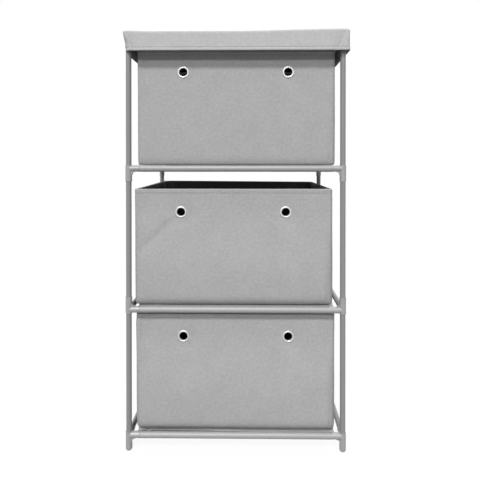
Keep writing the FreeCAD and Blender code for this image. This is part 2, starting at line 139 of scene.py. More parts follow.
def arc(centre: Pair, radius: float, first: float, last: float, steps: int) -> Profile:
    """Points along an arc.

    Args:
        centre: The arc's centre.
        radius: The arc's radius.
        first: Angle of the first point, in degrees.
        last: Angle of the last point, in degrees.
        steps: How many stretches the arc is divided into.

    Returns:
        The points, both ends among them.
    """
    angles = [math.radians(mix(first, last, k / steps)) for k in range(steps + 1)]
    return [(centre[0] + radius * math.cos(a), centre[1] + radius * math.sin(a)) for a in angles]


def even_steps(start: float, end: float, step: float) -> list[float]:
    """Values from start to end at an even distance of about one step, both ends among them."""
    count = max(1, round(abs(end - start) / step))
    return [mix(start, end, k / count) for k in range(count + 1)]


def depths(profile: Profile) -> list[float]:
    """Measure along a profile.

    Args:
        profile: The profile's points.

    Returns:
        The length up to each point, from 0.
    """
    made = []
    depth = 0.0
    for before, place in zip([profile[0], *profile], profile):
        depth += math.dist(before, place)
        made.append(depth)
    return made


def link(name: str, data: bpy.types.ID) -> Piece:
    """Put a mesh, a lamp or a camera into the scene.

    Args:
        name: Name of the object.
        data: What it shows.

    Returns:
        The object, at the origin.
    """
    made = bpy.data.objects.new(name, data)
    bpy.context.scene.collection.objects.link(made)
    return made


def solid(name: str, mesh: Shape, finish: Material) -> Piece:
    """Put a finished shape into the scene.

    Args:
        name: Name of the object.
        mesh: Its shape, which is used up.
        finish: Its material.

    Returns:
        The object, at the origin.
    """
    data = bpy.data.meshes.new(name)
    mesh.to_mesh(data)
    mesh.free()
    data.materials.append(finish)
    return link(name, data)


def smooth(piece: Piece, crisp: float) -> None:
    """Shade a piece smoothly, but for edges that turn by more than an angle in degrees."""
    piece.data.shade_smooth()
    piece.data.set_sharp_from_angle(angle=math.radians(crisp))


def settle(piece: Piece) -> None:
    """Turn what a piece's modifiers make into its own plain mesh.

    Args:
        piece: The piece, which loses its modifiers.
    """
    graph = bpy.context.evaluated_depsgraph_get()
    shaped = piece.evaluated_get(graph)
    mesh = bpy.data.meshes.new_from_object(shaped, preserve_all_data_layers=True, depsgraph=graph)
    piece.modifiers.clear()
    piece.data = mesh


def hand_over(pieces: Sequence[Piece], body: str) -> None:
    """Give finished pieces their body, and log them.

    Args:
        pieces: The pieces.
        body: The body that they ride on.
    """
    for piece in pieces:
        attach(piece, body)
        log.info("%s: %d faces", piece.name, len(piece.data.polygons))


# ---- Finishes ----

class Wiring:
    """A node tree under construction."""

    def __init__(self, tree: bpy.types.NodeTree) -> None:
        """Take up a tree, with the nodes that it has."""
        self.tree = tree

    def fill(self, node: bpy.types.Node, inputs: dict[str | int, object]) -> None:
        """Fill a node's inputs.

        Args:
            node: The node.
            inputs: Values, or outputs of other nodes, by the input's name or number.
        """
        for key, value in inputs.items():
            if isinstance(value, Socket):
                self.tree.links.new(value, node.inputs[key])
            else:
                node.inputs[key].default_value = value

    def node(self, kind: str, inputs: dict[str | int, object], **settings: object) -> bpy.types.Node:
        """Add a node.

        Args:
            kind: The node's type.
            inputs: What its inputs get.
            **settings: The node's own properties.

        Returns:
            The node.
        """
        made = self.tree.nodes.new(kind)
        for key, value in settings.items():
            setattr(made, key, value)
        self.fill(made, inputs)
        return made

    def maths(self, operation: str, *values: object) -> Socket:
        """Work out one number from values, or from outputs of other nodes."""
        return self.node("ShaderNodeMath", dict(enumerate(values)), operation=operation).outputs[0]


class Shader(Wiring):
    """The nodes of a material with one Principled surface."""

    def __init__(self, name: str) -> None:
        """Start a material.

        Args:
            name: The material's name.
        """
        self.material = bpy.data.materials.new(name)
        self.material.use_nodes = True
        super().__init__(self.material.node_tree)
        self.surface = self.tree.nodes["Principled BSDF"]

    def total(self, *parts: tuple[Socket, float]) -> Socket:
        """Add outputs up.

        Args:
            *parts: Pairs of an output and its weight.

        Returns:
            The weighted sum.
        """
        first, *others = [self.maths("MULTIPLY", output, weight) for output, weight in parts]
        for other in others:
            first = self.maths("ADD", first, other)
        return first

    def stretched(self, source: Socket, scale: Sequence[float]) -> Socket:
        """Scale a coordinate by a factor for each axis."""
        inputs = {0: source, 1: tuple(scale)}
        return self.node("ShaderNodeVectorMath", inputs, operation="MULTIPLY").outputs[0]

    def cloud(self, source: Socket, scale: float, detail: float = 2.0) -> Socket:
        """Noise from 0 to 1, of a number of swells a metre and with finer layers on them."""
        inputs = {"Vector": source, "Scale": scale, "Detail": detail}
        return self.node("ShaderNodeTexNoise", inputs).outputs["Fac"]

    def greys(self, share: Socket, grey: float, variation: float) -> None:
        """Colour the surface in a neutral grey that varies.

        Args:
            share: From 0 where it's darkest to 1 where it's lightest.
            grey: The middle grey.
            variation: How far it goes to either side, as a share of the grey.
        """
        inputs = {
            "Factor": share,
            FIRST_COLOUR: even_grey(grey * (1.0 - variation)),
            SECOND_COLOUR: even_grey(grey * (1.0 + variation)),
        }
        made = self.node("ShaderNodeMix", inputs, data_type="RGBA")
        self.fill(self.surface, {"Base Color": made.outputs[MIXED_COLOUR]})

    def relief(self, height: Socket, depth: float, strength: float) -> None:
        """Roughen the surface by a height map, to a depth and with a strength."""
        inputs = {"Strength": strength, "Distance": depth, "Height": height}
        self.fill(self.surface, {"Normal": self.node("ShaderNodeBump", inputs).outputs[0]})

    def worn(self, share: Socket, roughness: float, wear: float) -> None:
        """Let the roughness vary by its wear, from a share of 0 to one of 1."""
        rough = self.maths("MULTIPLY_ADD", share, wear, roughness - wear / 2)
        self.fill(self.surface, {"Roughness": rough})


class Weave(Enum):
    """How a cloth is made."""

    PLAIN = "plain weave"
    FELTED = "bonded fibres"


@dataclass(frozen=True)
class Finish:
    """A finish in a neutral colour.

    Attributes:
        name: The material's name.
        grey: Its colour, a linear grey.
        mottle: How much the colour varies, as a share.
    """

    name: str
    grey: float
    mottle: float


@dataclass(frozen=True)
class ClothFinish(Finish):
    """Woven or bonded cloth, patterned on its flat cut.

    Attributes:
        weave: How the cloth is made.
        pitch: Distance from one thread or fibre to the next.
        depth: Height of the threads.
        roughness: Roughness of the surface.
        specular: Strength of its gloss.
        sheen: Strength of the fibres' sheen.
        sheen_roughness: Roughness of that sheen.
        slubs: Thick stretches of the warp for each pitch, across and along it.
        picks: Thick stretches of the weft, in the same way.
        patches: Number of pale and dark patches a metre.
        flecks: Number of flecks a metre.
    """

    weave: Weave = Weave.PLAIN
    pitch: float = 0.62 * MM
    depth: float = 0.16 * MM
    roughness: float = 0.9
    specular: float = 0.15
    sheen: float = 0.06
    sheen_roughness: float = 0.4
    slubs: Pair = (0.20, 0.025)
    picks: Pair = (0.022, 0.24)
    patches: float = 24.0
    flecks: float = 170.0

    def material(self) -> Material:
        """Build the material.

        Returns:
            The material.
        """
        shader = Shader(self.name)
        flat = shader.node("ShaderNodeUVMap", {}, uv_map=CLOTH_MAP).outputs["UV"]
        surface = self._threads if self.weave is Weave.PLAIN else self._fibres
        height = surface(shader, flat)
        slubs = self._uneven(shader, flat, self.slubs)
        picks = self._uneven(shader, flat, self.picks)
        patches = shader.cloud(flat, self.patches, detail=3.0)
        flecks = shader.cloud(flat, self.flecks, detail=1.0)
        # The height of the threads or fibres is painted into the colour as well: painted shade darkens the
        # dips between them and their tops come out lighter. The slubs, picks, patches and flecks are the
        # cloth's own random tone.
        share = shader.total((slubs, 0.16), (picks, 0.16), (patches, 0.18), (flecks, 0.35), (height, 0.15))
        shader.greys(share, self.grey, self.mottle)
        shader.relief(shader.total((height, 1.0), (slubs, 0.6)), self.depth, strength=0.7)
        shader.fill(shader.surface, {
            "Roughness": self.roughness, "Specular IOR Level": self.specular,
            "Sheen Weight": self.sheen, "Sheen Roughness": self.sheen_roughness,
        })
        return shader.material

    def _uneven(self, shader: Shader, flat: Socket, rate: Pair) -> Socket:
        """Thick and thin stretches of thread, at a rate for each pitch across and along."""
        scale = (rate[0] / self.pitch, rate[1] / self.pitch, 1.0)
        return shader.cloud(shader.stretched(flat, scale), scale=1.0)

    def _threads(self, shader: Shader, flat: Socket) -> Socket:
        """Make a plain weave, whose warp and weft take turns on top.

        Args:
            shader: The material's nodes.
            flat: The place on the flat cloth.

        Returns:
            The height of the threads, from 0 to 1.
        """
        threads = shader.stretched(flat, (1.0 / self.pitch, 1.0 / self.pitch, 1.0))
        split = shader.node("ShaderNodeSeparateXYZ", {0: threads})
        checks = shader.node("ShaderNodeTexChecker", {"Vector": threads, "Scale": 1.0})
        over = shader.node("ShaderNodeMix", {"Factor": checks.outputs["Fac"]}, data_type="FLOAT")
        for axis, number in enumerate((FIRST_NUMBER, SECOND_NUMBER)):
            turn = shader.maths("MULTIPLY", split.outputs[axis], math.pi)
            shader.fill(over, {number: shader.maths("ABSOLUTE", shader.maths("SINE", turn))})
        return over.outputs[0]

    def _fibres(self, shader: Shader, flat: Socket) -> Socket:
        """Make bonded fibres, short strands that lie both ways.

        Args:
            shader: The material's nodes.
            flat: The place on the flat cloth.

        Returns:
            The height of the fibres, from 0 to 1.
        """
        narrow, long = 1.0 / self.pitch, 0.2 / self.pitch
        strands = [
            shader.cloud(shader.stretched(flat, (x, y, 1.0)), scale=1.0, detail=3.0)
            for x, y in ((narrow, long), (long, narrow))
        ]
        return shader.maths("MAXIMUM", *strands)


@dataclass(frozen=True)
class CoatFinish(Finish):
    """A smooth skin with a fine grain: powder coat, moulded plastic, raw board or thread.

    Attributes:
        grain: Distance from one grain to the next.
        depth: Height of the grain.
        roughness: Roughness of the surface.
        specular: Strength of its gloss.
        drift: Number of wide swells a metre, in which colour and roughness drift.
        wear: How much the roughness varies.
    """

    grain: float
    depth: float
    roughness: float
    specular: float
    drift: float = 30.0
    wear: float = 0.16

    def material(self) -> Material:
        """Build the material.

        Returns:
            The material.
        """
        shader = Shader(self.name)
        place = shader.node("ShaderNodeTexCoord", {}).outputs["Object"]
        grain = shader.cloud(place, 1.0 / self.grain)
        drift = shader.cloud(place, self.drift)
        shader.greys(shader.total((grain, 0.4), (drift, 0.6)), self.grey, self.mottle)
        shader.relief(grain, self.depth, strength=0.6)
        shader.worn(drift, self.roughness, self.wear)
        shader.fill(shader.surface, {"Specular IOR Level": self.specular})
        return shader.material


@dataclass(frozen=True)
class NickelFinish(Finish):
    """Bright nickel plate with fine handling marks.

    Attributes:
        roughness: Roughness between the marks.
        wear: How much the roughness varies.
        marks: Number of handling marks a metre along each axis.
        mark_depth: Depth of the marks.
        haze: Number of hazy spots a metre.
    """

    roughness: float
    wear: float = 0.1
    marks: tuple[float, float, float] = (900.0, 900.0, 2500.0)
    mark_depth: float = 0.02 * MM
    haze: float = 120.0

    def material(self) -> Material:
        """Build the material.

        Returns:
            The material.
        """
        shader = Shader(self.name)
        place = shader.node("ShaderNodeTexCoord", {}).outputs["Object"]
        marks = shader.cloud(shader.stretched(place, self.marks), scale=1.0, detail=4.0)
        haze = shader.cloud(place, self.haze)
        shader.greys(haze, self.grey, self.mottle)
        shader.relief(marks, self.mark_depth, strength=0.25)
        shader.worn(haze, self.roughness, self.wear)
        shader.fill(shader.surface, {"Metallic": 1.0})
        return shader.material


class Finishes:
    """Every material of the dresser, made once."""

    def __init__(self) -> None:
        """Build the materials."""
        self.tube = CoatFinish(
            "powder coated tube", grey=0.24, mottle=0.05, grain=0.7 * MM, depth=0.03 * MM,
            roughness=0.40, specular=0.5).material()
        self.connector = CoatFinish(
            "moulded plastic", grey=0.31, mottle=0.06, grain=0.45 * MM, depth=0.03 * MM,
            roughness=0.40, specular=0.9).material()
        self.drawer = ClothFinish("drawer canvas", grey=0.40, mottle=0.40).material()
        self.cover = ClothFinish("cover canvas", grey=0.505, mottle=0.30).material()
        self.shelf = ClothFinish(
            "shelf cloth", grey=0.335, mottle=0.26, weave=Weave.FELTED, pitch=0.5 * MM, depth=0.08 * MM,
            roughness=0.44, specular=0.52).material()
        self.lining = ClothFinish(
            "black lining", grey=0.011, mottle=0.3, weave=Weave.FELTED, pitch=0.5 * MM, depth=0.12 * MM,
            roughness=0.42, specular=0.6, sheen=0.15).material()
        self.board = CoatFinish(
            "greyboard", grey=0.26, mottle=0.15, grain=0.9 * MM, depth=0.05 * MM,
            roughness=0.9, specular=0.2).material()
        self.nickel = NickelFinish("nickel plate", grey=0.62, mottle=0.06, roughness=0.48).material()
        self.thread = CoatFinish(
            "sewing thread", grey=0.36, mottle=0.15, grain=0.25 * MM, depth=0.05 * MM,
            roughness=0.8, specular=0.2).material()


# ---- Plans, cloth and holes ----

@dataclass(frozen=True)
class Station:
    """A place on a plan's outline.

    Attributes:
        at: The point on the outline.
        out: The outward direction there.
        along: Length of the outline up to this place.
    """

    at: Vector
    out: Vector
    along: float = 0.0


class Corner(Enum):
    """A plan's corners, anticlockwise, each with the angle at which its turn starts."""

    REAR_RIGHT = 0.0
    REAR_LEFT = 90.0
    FRONT_LEFT = 180.0
    FRONT_RIGHT = 270.0


@dataclass(frozen=True)
class Plan:
    """A rectangle with rounded corners, seen from above.

    Attributes:
        low: The corner with the lowest X and Y.
        high: The corner with the highest X and Y.
        front_left: Radius of the corner with the lowest X and Y.
        front_right: Radius of the other front corner.
        rear: Radius of the two rear corners.
    """

    low: Vector
    high: Vector
    front_left: float
    front_right: float
    rear: float

    def turn(self, corner: Corner) -> list[Station]:
        """Stations round one corner, anticlockwise.

        Args:
            corner: The corner.

        Returns:
            The stations.
        """
        fronts = {Corner.FRONT_LEFT: self.front_left, Corner.FRONT_RIGHT: self.front_right}
        radius = fronts.get(corner, self.rear)
        right = corner in (Corner.FRONT_RIGHT, Corner.REAR_RIGHT)
        x = self.high.x - radius if right else self.low.x + radius
        y = self.low.y + radius if corner in fronts else self.high.y - radius
        made = []
        for c, s in arc((0.0, 0.0), 1.0, corner.value, corner.value + 90.0, TURN_STEPS):
            made.append(Station(Vector((x + radius * c, y + radius * s, 0.0)), Vector((c, s, 0.0))))
        return made

    def turns(self, first: Corner) -> list[list[Station]]:
        """Stations round all four corners, anticlockwise from a given one.

        Args:
            first: The corner to start with.

        Returns:
            The stations of each corner.
        """
        order = list(Corner)
        start = order.index(first)
        return [self.turn(corner) for corner in order[start:] + order[:start]]

    def inside(self, station: Station, inset: float) -> Vector:
        """The point of the outline moved inwards, kept within its mitred corners.

        Args:
            station: The place on the outline.
            inset: How far inwards.

        Returns:
            The point.
        """
        place = station.at - station.out * inset
        x = min(max(place.x, self.low.x + inset), self.high.x - inset)
        y = min(max(place.y, self.low.y + inset), self.high.y - inset)
        return Vector((x, y, 0.0))

    def corner_distance(self, place: Vector) -> float:
        """Distance of a point on a side from the nearer end of that side.

        Args:
            place: The point.

        Returns:
            The distance.
        """
        return max(
            min(place.x - self.low.x, self.high.x - place.x),
            min(place.y - self.low.y, self.high.y - place.y))

    def join(self, turns: Sequence[Sequence[Station]], step: float) -> list[Station]:
        """Put stations on the straight sides between corners.

        Args:
            turns: The stations round each corner. One station alone stands in the middle of a side.
            step: Distance from one station to the next, about.

        Returns:
            All the stations, with their lengths along the outline.
        """
        made = list(turns[0])
        for before, after in zip(turns, turns[1:]):
            start, end = before[-1], after[0]
            wide = abs(start.out.y) > abs(start.out.x)
            side = self.high.x - self.low.x if wide else self.high.y - self.low.y
            share = 0.5 if len(before) == 1 or len(after) == 1 else 1.0
            cells = max(2, round(side * share / step))
            made += [Station(start.at.lerp(end.at, k / cells), start.out) for k in range(1, cells)]
            made += after
        stations = []
        along = 0.0
        for before, station in zip([made[0], *made], made):
            along += (station.at - before.at).length
            stations.append(Station(station.at, station.out, along))
        return stations

    def ring(self, step: float) -> list[Station]:
        """Stations all round from the middle of the rear, the first one repeated at the end.

        Args:
            step: Distance from one station to the next, about.

        Returns:
            The stations.
        """
        middle = Vector(((self.low.x + self.high.x) / 2, self.high.y, 0.0))
        end = [Station(middle, Vector((0.0, 1.0, 0.0)))]
        return self.join([end, *self.turns(Corner.REAR_LEFT), end], step)


@dataclass(frozen=True)
class Hole:
    """A round hole through a wall that looks along Y.

    Attributes:
        centre: The hole's centre on the wall.
        radius: The hole's radius.
        reach: How far in front of and behind the centre the wall may lie.
    """

    centre: Vector
    radius: float
    reach: float

    def distance(self, place: Vector) -> float:
        """Distance of a point from the hole's axis."""
        return math.hypot(place.x - self.centre.x, place.z - self.centre.z)

    def punch(self, mesh: Shape) -> None:
        """Open the hole and bring the points round it onto its circle.

        Args:
            mesh: The wall.
        """
        gone = []
        for face in mesh.faces:
            middle = face.calc_center_median()
            if abs(middle.y - self.centre.y) < self.reach and self.distance(middle) < self.radius:
                gone.append(face)
        rim = {vert for face in gone for vert in face.verts}
        bmesh.ops.delete(mesh, geom=gone, context="FACES")
        for vert in rim:
            if vert.is_valid:
                away = Vector((vert.co.x - self.centre.x, 0.0, vert.co.z - self.centre.z))
                place = self.centre + away.normalized() * self.radius
                vert.co = Vector((place.x, vert.co.y, place.z))


@dataclass
class Cloth:
    """A piece of cloth as rows of points.

    With columns that run anticlockwise round a plan and rows that run down, the face of the
    cloth looks outwards.

    Attributes:
        name: The piece's name.
        rows: The points of the cloth's face.
        flat: Each point's place on the flat cloth.
        thickness: Thickness of the cloth, which lies behind its face.
        turned: Whether the face looks the other way.
        capped: Whether the last row is closed by a flat floor.
        weld: Points nearer to each other than this become one.
        crisp: Edges that turn by more than this stay sharp, in degrees.
    """

    name: str
    rows: list[list[Vector]]
    flat: list[Profile]
    thickness: float
    turned: bool = False
    capped: bool = False
    weld: float = 0.01 * MM
    crisp: float = 50.0

    def build(self, finish: Material, holes: Sequence[Hole] = ()) -> Piece:
        """Make the piece.

        Args:
            finish: The cloth's material.
            holes: Round holes through the cloth.

        Returns:
            The piece, a closed mesh with the cloth's thickness.
        """
        mesh = bmesh.new()
        layer = mesh.loops.layers.uv.new(CLOTH_MAP)
        verts = [[mesh.verts.new(place) for place in row] for row in self.rows]
        for i in range(len(verts) - 1):
            for j in range(len(verts[i]) - 1):
                corners = [(i, j), (i + 1, j), (i + 1, j + 1), (i, j + 1)]
                if self.turned:
                    corners.reverse()
                face = mesh.faces.new([verts[a][b] for a, b in corners])
                for loop, (a, b) in zip(face.loops, corners):
                    loop[layer].uv = self.flat[a][b]
        if self.capped:
            ring = verts[-1][:-1]
            face = mesh.faces.new(ring if self.turned else ring[::-1])
            for loop in face.loops:
                loop[layer].uv = loop.vert.co.xy
        for hole in holes:
            hole.punch(mesh)
        bmesh.ops.remove_doubles(mesh, verts=mesh.verts, dist=self.weld)
        piece = solid(self.name, mesh, finish)
        body = piece.modifiers.new("Thickness", "SOLIDIFY")
        body.thickness = self.thickness
        body.offset = -1.0
        settle(piece)
        smooth(piece, self.crisp)
        return piece


# ---- Sewing ----

@dataclass(frozen=True)
class StitchSize:
    """Sizes of a row of machine stitches.

    Attributes:
        spacing: Distance from one stitch to the next.
        length: Length of one stitch on the face of the cloth.
        thickness: Thickness of the thread.
        sway: How far a stitch may turn out of line, in degrees.
    """

    spacing: float = 3.6 * MM
    length: float = 3.0 * MM
    thickness: float = 0.55 * MM
    sway: float = 5.0


class Sewing:
    """Rows of stitches that a Geometry Nodes tree sets along lines on the cloth."""

    def __init__(self, thread: Material) -> None:
        """Build the tree once for every row.

        Args:
            thread: The stitches' material.
        """
        self.thread = thread
        self.size = StitchSize()
        self.tree = bpy.data.node_groups.new("Stitch row", "GeometryNodeTree")
        self.sockets: dict[str, str] = {}
        self._declare()
        self._grow()

    def _declare(self) -> None:
        """Name the tree's inputs and its output."""
        face = self.tree.interface
        kinds = {
            "Line": "Geometry", "Spacing": "Float", "Length": "Float", "Thickness": "Float",
            "Sway": "Float", "Seed": "Int", "Thread": "Material",
        }
        for name, kind in kinds.items():
            socket = face.new_socket(name, in_out="INPUT", socket_type=f"NodeSocket{kind}")
            self.sockets[name] = socket.identifier
        face.new_socket("Stitches", in_out="OUTPUT", socket_type="NodeSocketGeometry")

    def _grow(self) -> None:
        """Join the nodes: points along the line, one stitch on each, made real."""
        nodes = Wiring(self.tree)
        given = nodes.node("NodeGroupInput", {}).outputs
        curve = nodes.node("GeometryNodeMeshToCurve", {"Mesh": given["Line"]})
        points = nodes.node(
            "GeometryNodeCurveToPoints", {"Curve": curve.outputs["Curve"], "Length": given["Spacing"]},
            mode="LENGTH")
        aim = nodes.node("FunctionNodeAlignRotationToVector", {"Vector": points.outputs["Tangent"]}, axis="X")
        least = nodes.maths("MULTIPLY", given["Sway"], -1.0)
        sway = nodes.node(
            "FunctionNodeRandomValue", {0: least, 1: given["Sway"], "Seed": given["Seed"]},
            data_type="FLOAT_VECTOR")
        turn = nodes.node("FunctionNodeEulerToRotation", {0: sway.outputs[0]})
        wander = nodes.node(
            "FunctionNodeRotateRotation", {"Rotation": aim.outputs[0], "Rotate By": turn.outputs[0]},
            rotation_space="LOCAL")
        shape = nodes.node("GeometryNodeMeshUVSphere", {"Segments": 8, "Rings": 5})
        length, thickness = (nodes.maths("MULTIPLY", given[name], 0.5) for name in ("Length", "Thickness"))
        scale = nodes.node("ShaderNodeCombineXYZ", {"X": length, "Y": thickness, "Z": thickness})
        place = nodes.node("GeometryNodeInstanceOnPoints", {
            "Points": points.outputs["Points"], "Instance": shape.outputs["Mesh"],
            "Rotation": wander.outputs[0], "Scale": scale.outputs[0],
        })
        real = nodes.node("GeometryNodeRealizeInstances", {0: place.outputs[0]})
        dyed = {"Geometry": real.outputs[0], "Material": given["Thread"]}
        nodes.node("NodeGroupOutput", {0: nodes.node("GeometryNodeSetMaterial", dyed).outputs[0]})

    def row(self, name: str, lines: Sequence[Sequence[Vector]], seed: int) -> Piece:
        """Sew stitches along lines.

        Args:
            name: The piece's name.
            lines: Each line as its points, which lie on the face of the cloth.
            seed: Seed of the stitches' sway.

        Returns:
            The stitches as one piece.
        """
        data = bpy.data.meshes.new(name)
        points = [place for line in lines for place in line]
        edges = []
        first = 0
        for line in lines:
            edges += [(first + k, first + k + 1) for k in range(len(line) - 1)]
            first += len(line)
        data.from_pydata(points, edges, [])
        piece = link(name, data)
        sewn = piece.modifiers.new("Stitches", "NODES")
        sewn.node_group = self.tree
        values = {
            "Spacing": self.size.spacing, "Length": self.size.length, "Thickness": self.size.thickness,
            "Sway": math.radians(self.size.sway), "Seed": seed, "Thread": self.thread,
        }
        for key, value in values.items():
            sewn[self.sockets[key]] = value
        settle(piece)
        piece.data.shade_smooth()
        return piece


# ---- The tube frame ----

@dataclass
class TubeFrame:
    """The frame's own parts, which keep their shape and get their finish.

    Attributes:
        finishes: The dresser's materials.
    """

    finishes: Finishes

    def dress(self) -> None:
        """Give every tube, connector and board its material."""
        own = self.finishes
        endings = {
            "_post": own.tube, "_rail": own.tube, "_connectors": own.connector,
            "_board": own.board, "_boards": own.board,
        }
        for name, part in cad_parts.items():
            for ending, finish in endings.items():
                if name.endswith(ending):
                    part.material_slots[0].material = finish
        log.info("frame: %d parts dressed", len(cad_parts))


# ---- Drawers ----

@dataclass
class Sewn:
    """A sub-assembly of sewn cloth.

    Attributes:
        name: Its body or its node in the frame.
        finishes: The dresser's materials.
        sewing: The sewing of its hems and seams.
        seed: Gives it its own unevenness.
    """

    name: str
    finishes: Finishes
    sewing: Sewing
    seed: float


@dataclass(frozen=True)
class Slack:
    """How a drawer's cloth stands off its boards between the mouth and the foot.

    Attributes:
        front: How far it stands off in front.
        rear: The same behind.
        wave: How much that varies, as a share.
        top: Distances below the mouth between which the slack comes in.
        foot: Height above the bottom at which about two thirds of it is there.
        foot_power: How sharply it comes in there.
        side: Distance from a corner at which all of it is there.
        side_power: How sharply it comes in there.
        side_walls: Share of it that the side walls have.
    """

    front: float = 9.4 * MM
    rear: float = 3.0 * MM
    wave: Waves = Waves(0.18, 80.0 * MM, 3.0)
    top: Pair = (35.0 * MM, 175.0 * MM)
    foot: float = 7.6 * MM
    foot_power: float = 1.3
    side: float = 20.0 * MM
    side_power: float = 2.5
    side_walls: float = 0.06


@dataclass(frozen=True)
class Widening:
    """How far the cloth of the side walls stands off its boards, left and right.

    Attributes:
        even: What both ends of a wall have.
        mouth: How much more it is towards the mouth.
        power: How sharply that comes in on the way up.
        held: Share of it that the hem lets through.
        hem: Distance below the mouth over which the rest comes in.
        foot: Heights above the bottom between which it comes in.
        rim: Insets between which it goes out on the rim.
    """

    even: Pair = (0.0, 0.0)
    mouth: Pair = (0.0, 0.0)
    power: float = 2.0
    held: float = 0.5
    hem: float = 25.0 * MM
    foot: Pair = (-3.0 * MM, 5.0 * MM)
    rim: Pair = (3.4 * MM, 0.2 * MM)


@dataclass(frozen=True)
class Crease:
    """A shallow groove that runs down to the left from the left eyelet, with a ridge above it.

    Attributes:
        height: Height that the ridge would have if it rose at once.
        slant: Its angle below the horizontal, in degrees.
        start: Distance from the flange over which it comes in.
        rise: Distance over which the ridge rises above the groove.
        fall: Distance over which the ridge goes out again.
        corner: Distance from the drawer's corner over which it comes in.
        groove: Depth of the groove, as a share of the height.
        width: Half of the groove's width.
        bite: How far the groove may go in beyond the slack.
    """

    height: float = 0.0
    slant: float = 43.0
    start: float = 25.0 * MM
    rise: float = 7.0 * MM
    fall: float = 45.0 * MM
    corner: float = 12.0 * MM
    groove: float = 0.5
    width: float = 9.0 * MM
    bite: float = 0.5 * MM


@dataclass(frozen=True)
class Pucker:
    """How an eyelet draws in the cloth round it.

    Attributes:
        reach: Distance from the flange at which the cloth is free.
        grip: Distance inside the flange's edge at which it lies on the board.
        folds: Number of small folds round the eyelet.
        turn: How far the folds are turned for each unit of the drawer's seed.
        fold: Depth of the folds.
        start: Half of the distance over which they come in at the flange's edge.
        sunk: How far the cloth is drawn in.
    """

    reach: float = 24.0 * MM
    grip: float = 0.5 * MM
    folds: float = 6.0
    turn: float = 3.0
    fold: float = 0.35 * MM
    start: float = 3.0 * MM
    sunk: float = 0.2 * MM


@dataclass(frozen=True)
class Hem:
    """The hem round a drawer's mouth.

    Attributes:
        proud: How far it stands off the wall.
        thread: How far its stitches stand off the wall.
        row: Distance of its stitches from the mouth.
        depth: Distance of its edge from the mouth.
        outer: Radius of its outer edge at the mouth.
        inner: Radius of its inner edge.
        lip: How far it laps the lining inside.
        end: How far below the inner edge it ends there.
        groove: Shares of the stand-off round the row, with the distance below the row.
        edge: The same at the hem's edge.
    """

    proud: float = 0.6 * MM
    thread: float = 0.15 * MM
    row: float = 5.0 * MM
    depth: float = 8.0 * MM
    outer: float = 2.4 * MM
    inner: float = 1.0 * MM
    lip: float = 0.15 * MM
    end: float = 0.4 * MM
    groove: tuple[Pair, ...] = (
        (1.0, -1.6 * MM), (1.0, -0.8 * MM), (0.0, 0.0), (0.95, 0.8 * MM), (1.0, 1.6 * MM))
    edge: tuple[Pair, ...] = (
        (0.9, -0.3 * MM), (0.6, 0.1 * MM), (0.15, 0.6 * MM), (0.0, 1.8 * MM))


@dataclass(frozen=True)
class LiningCut:
    """The lining of a drawer.

    Attributes:
        thickness: Thickness of the cloth.
        corner: How much tighter its front corners are than the drawer's.
        rear_corner: Radius of its rear corners, where it's loose.
        step: Size of its cells along the walls.
        row: Size of its cells up the walls.
        top: Distance of its edge below the mouth.
        foot: Radius over which it turns into the floor.
        wave: How far it stands off the boards.
        held: Distance below the mouth over which that comes in at the front and rear.
        clamped: The same round an eyelet's flange.
    """

    thickness: float = 0.8 * MM
    corner: float = 2.0 * MM
    rear_corner: float = 17.0 * MM
    step: float = 8.0 * MM
    row: float = 9.0 * MM
    top: float = 1.2 * MM
    foot: float = 6.0 * MM
    wave: Waves = Waves(0.5 * MM, 60.0 * MM, 20.0)
    held: float = 30.0 * MM
    clamped: float = 18.0 * MM


@dataclass(frozen=True)
class EyeletSize:
    """Sizes of an eyelet, which is a rolled flange, a barrel and a washer.

    Attributes:
        flange: Width of the flange, from its edge to the bore.
        crown: How far the flange stands off the cloth.
        barrel: Thickness of the barrel.
        washer: Thickness of the washer.
        edge: How far inside their edges the flange and the washer turn to the cloth.
        flange_rear: Depth of the flange's rear, at the barrel and at its edge.
        washer_front: How far in front of the lining the washer starts, in the same way.
        bore_rows: Depth of the first row in the bore, and the distance to the next.
        lap: How far the cloth reaches under the flange.
        reach: How far in front of and behind the wall the cloth is cut.
        sides: Number of faces round it.
        crisp: Edges that turn by more than this stay sharp, in degrees.
    """

    flange: float = 3.75 * MM
    crown: float = 1.6 * MM
    barrel: float = 0.8 * MM
    washer: float = 0.8 * MM
    edge: float = 0.4 * MM
    flange_rear: Pair = (0.3 * MM, 0.25 * MM)
    washer_front: Pair = (0.1 * MM, 0.15 * MM)
    bore_rows: Pair = (1.0 * MM, 1.2 * MM)
    lap: float = 1.8 * MM
    reach: float = 8.0 * MM
    sides: int = 64
    crisp: float = 60.0


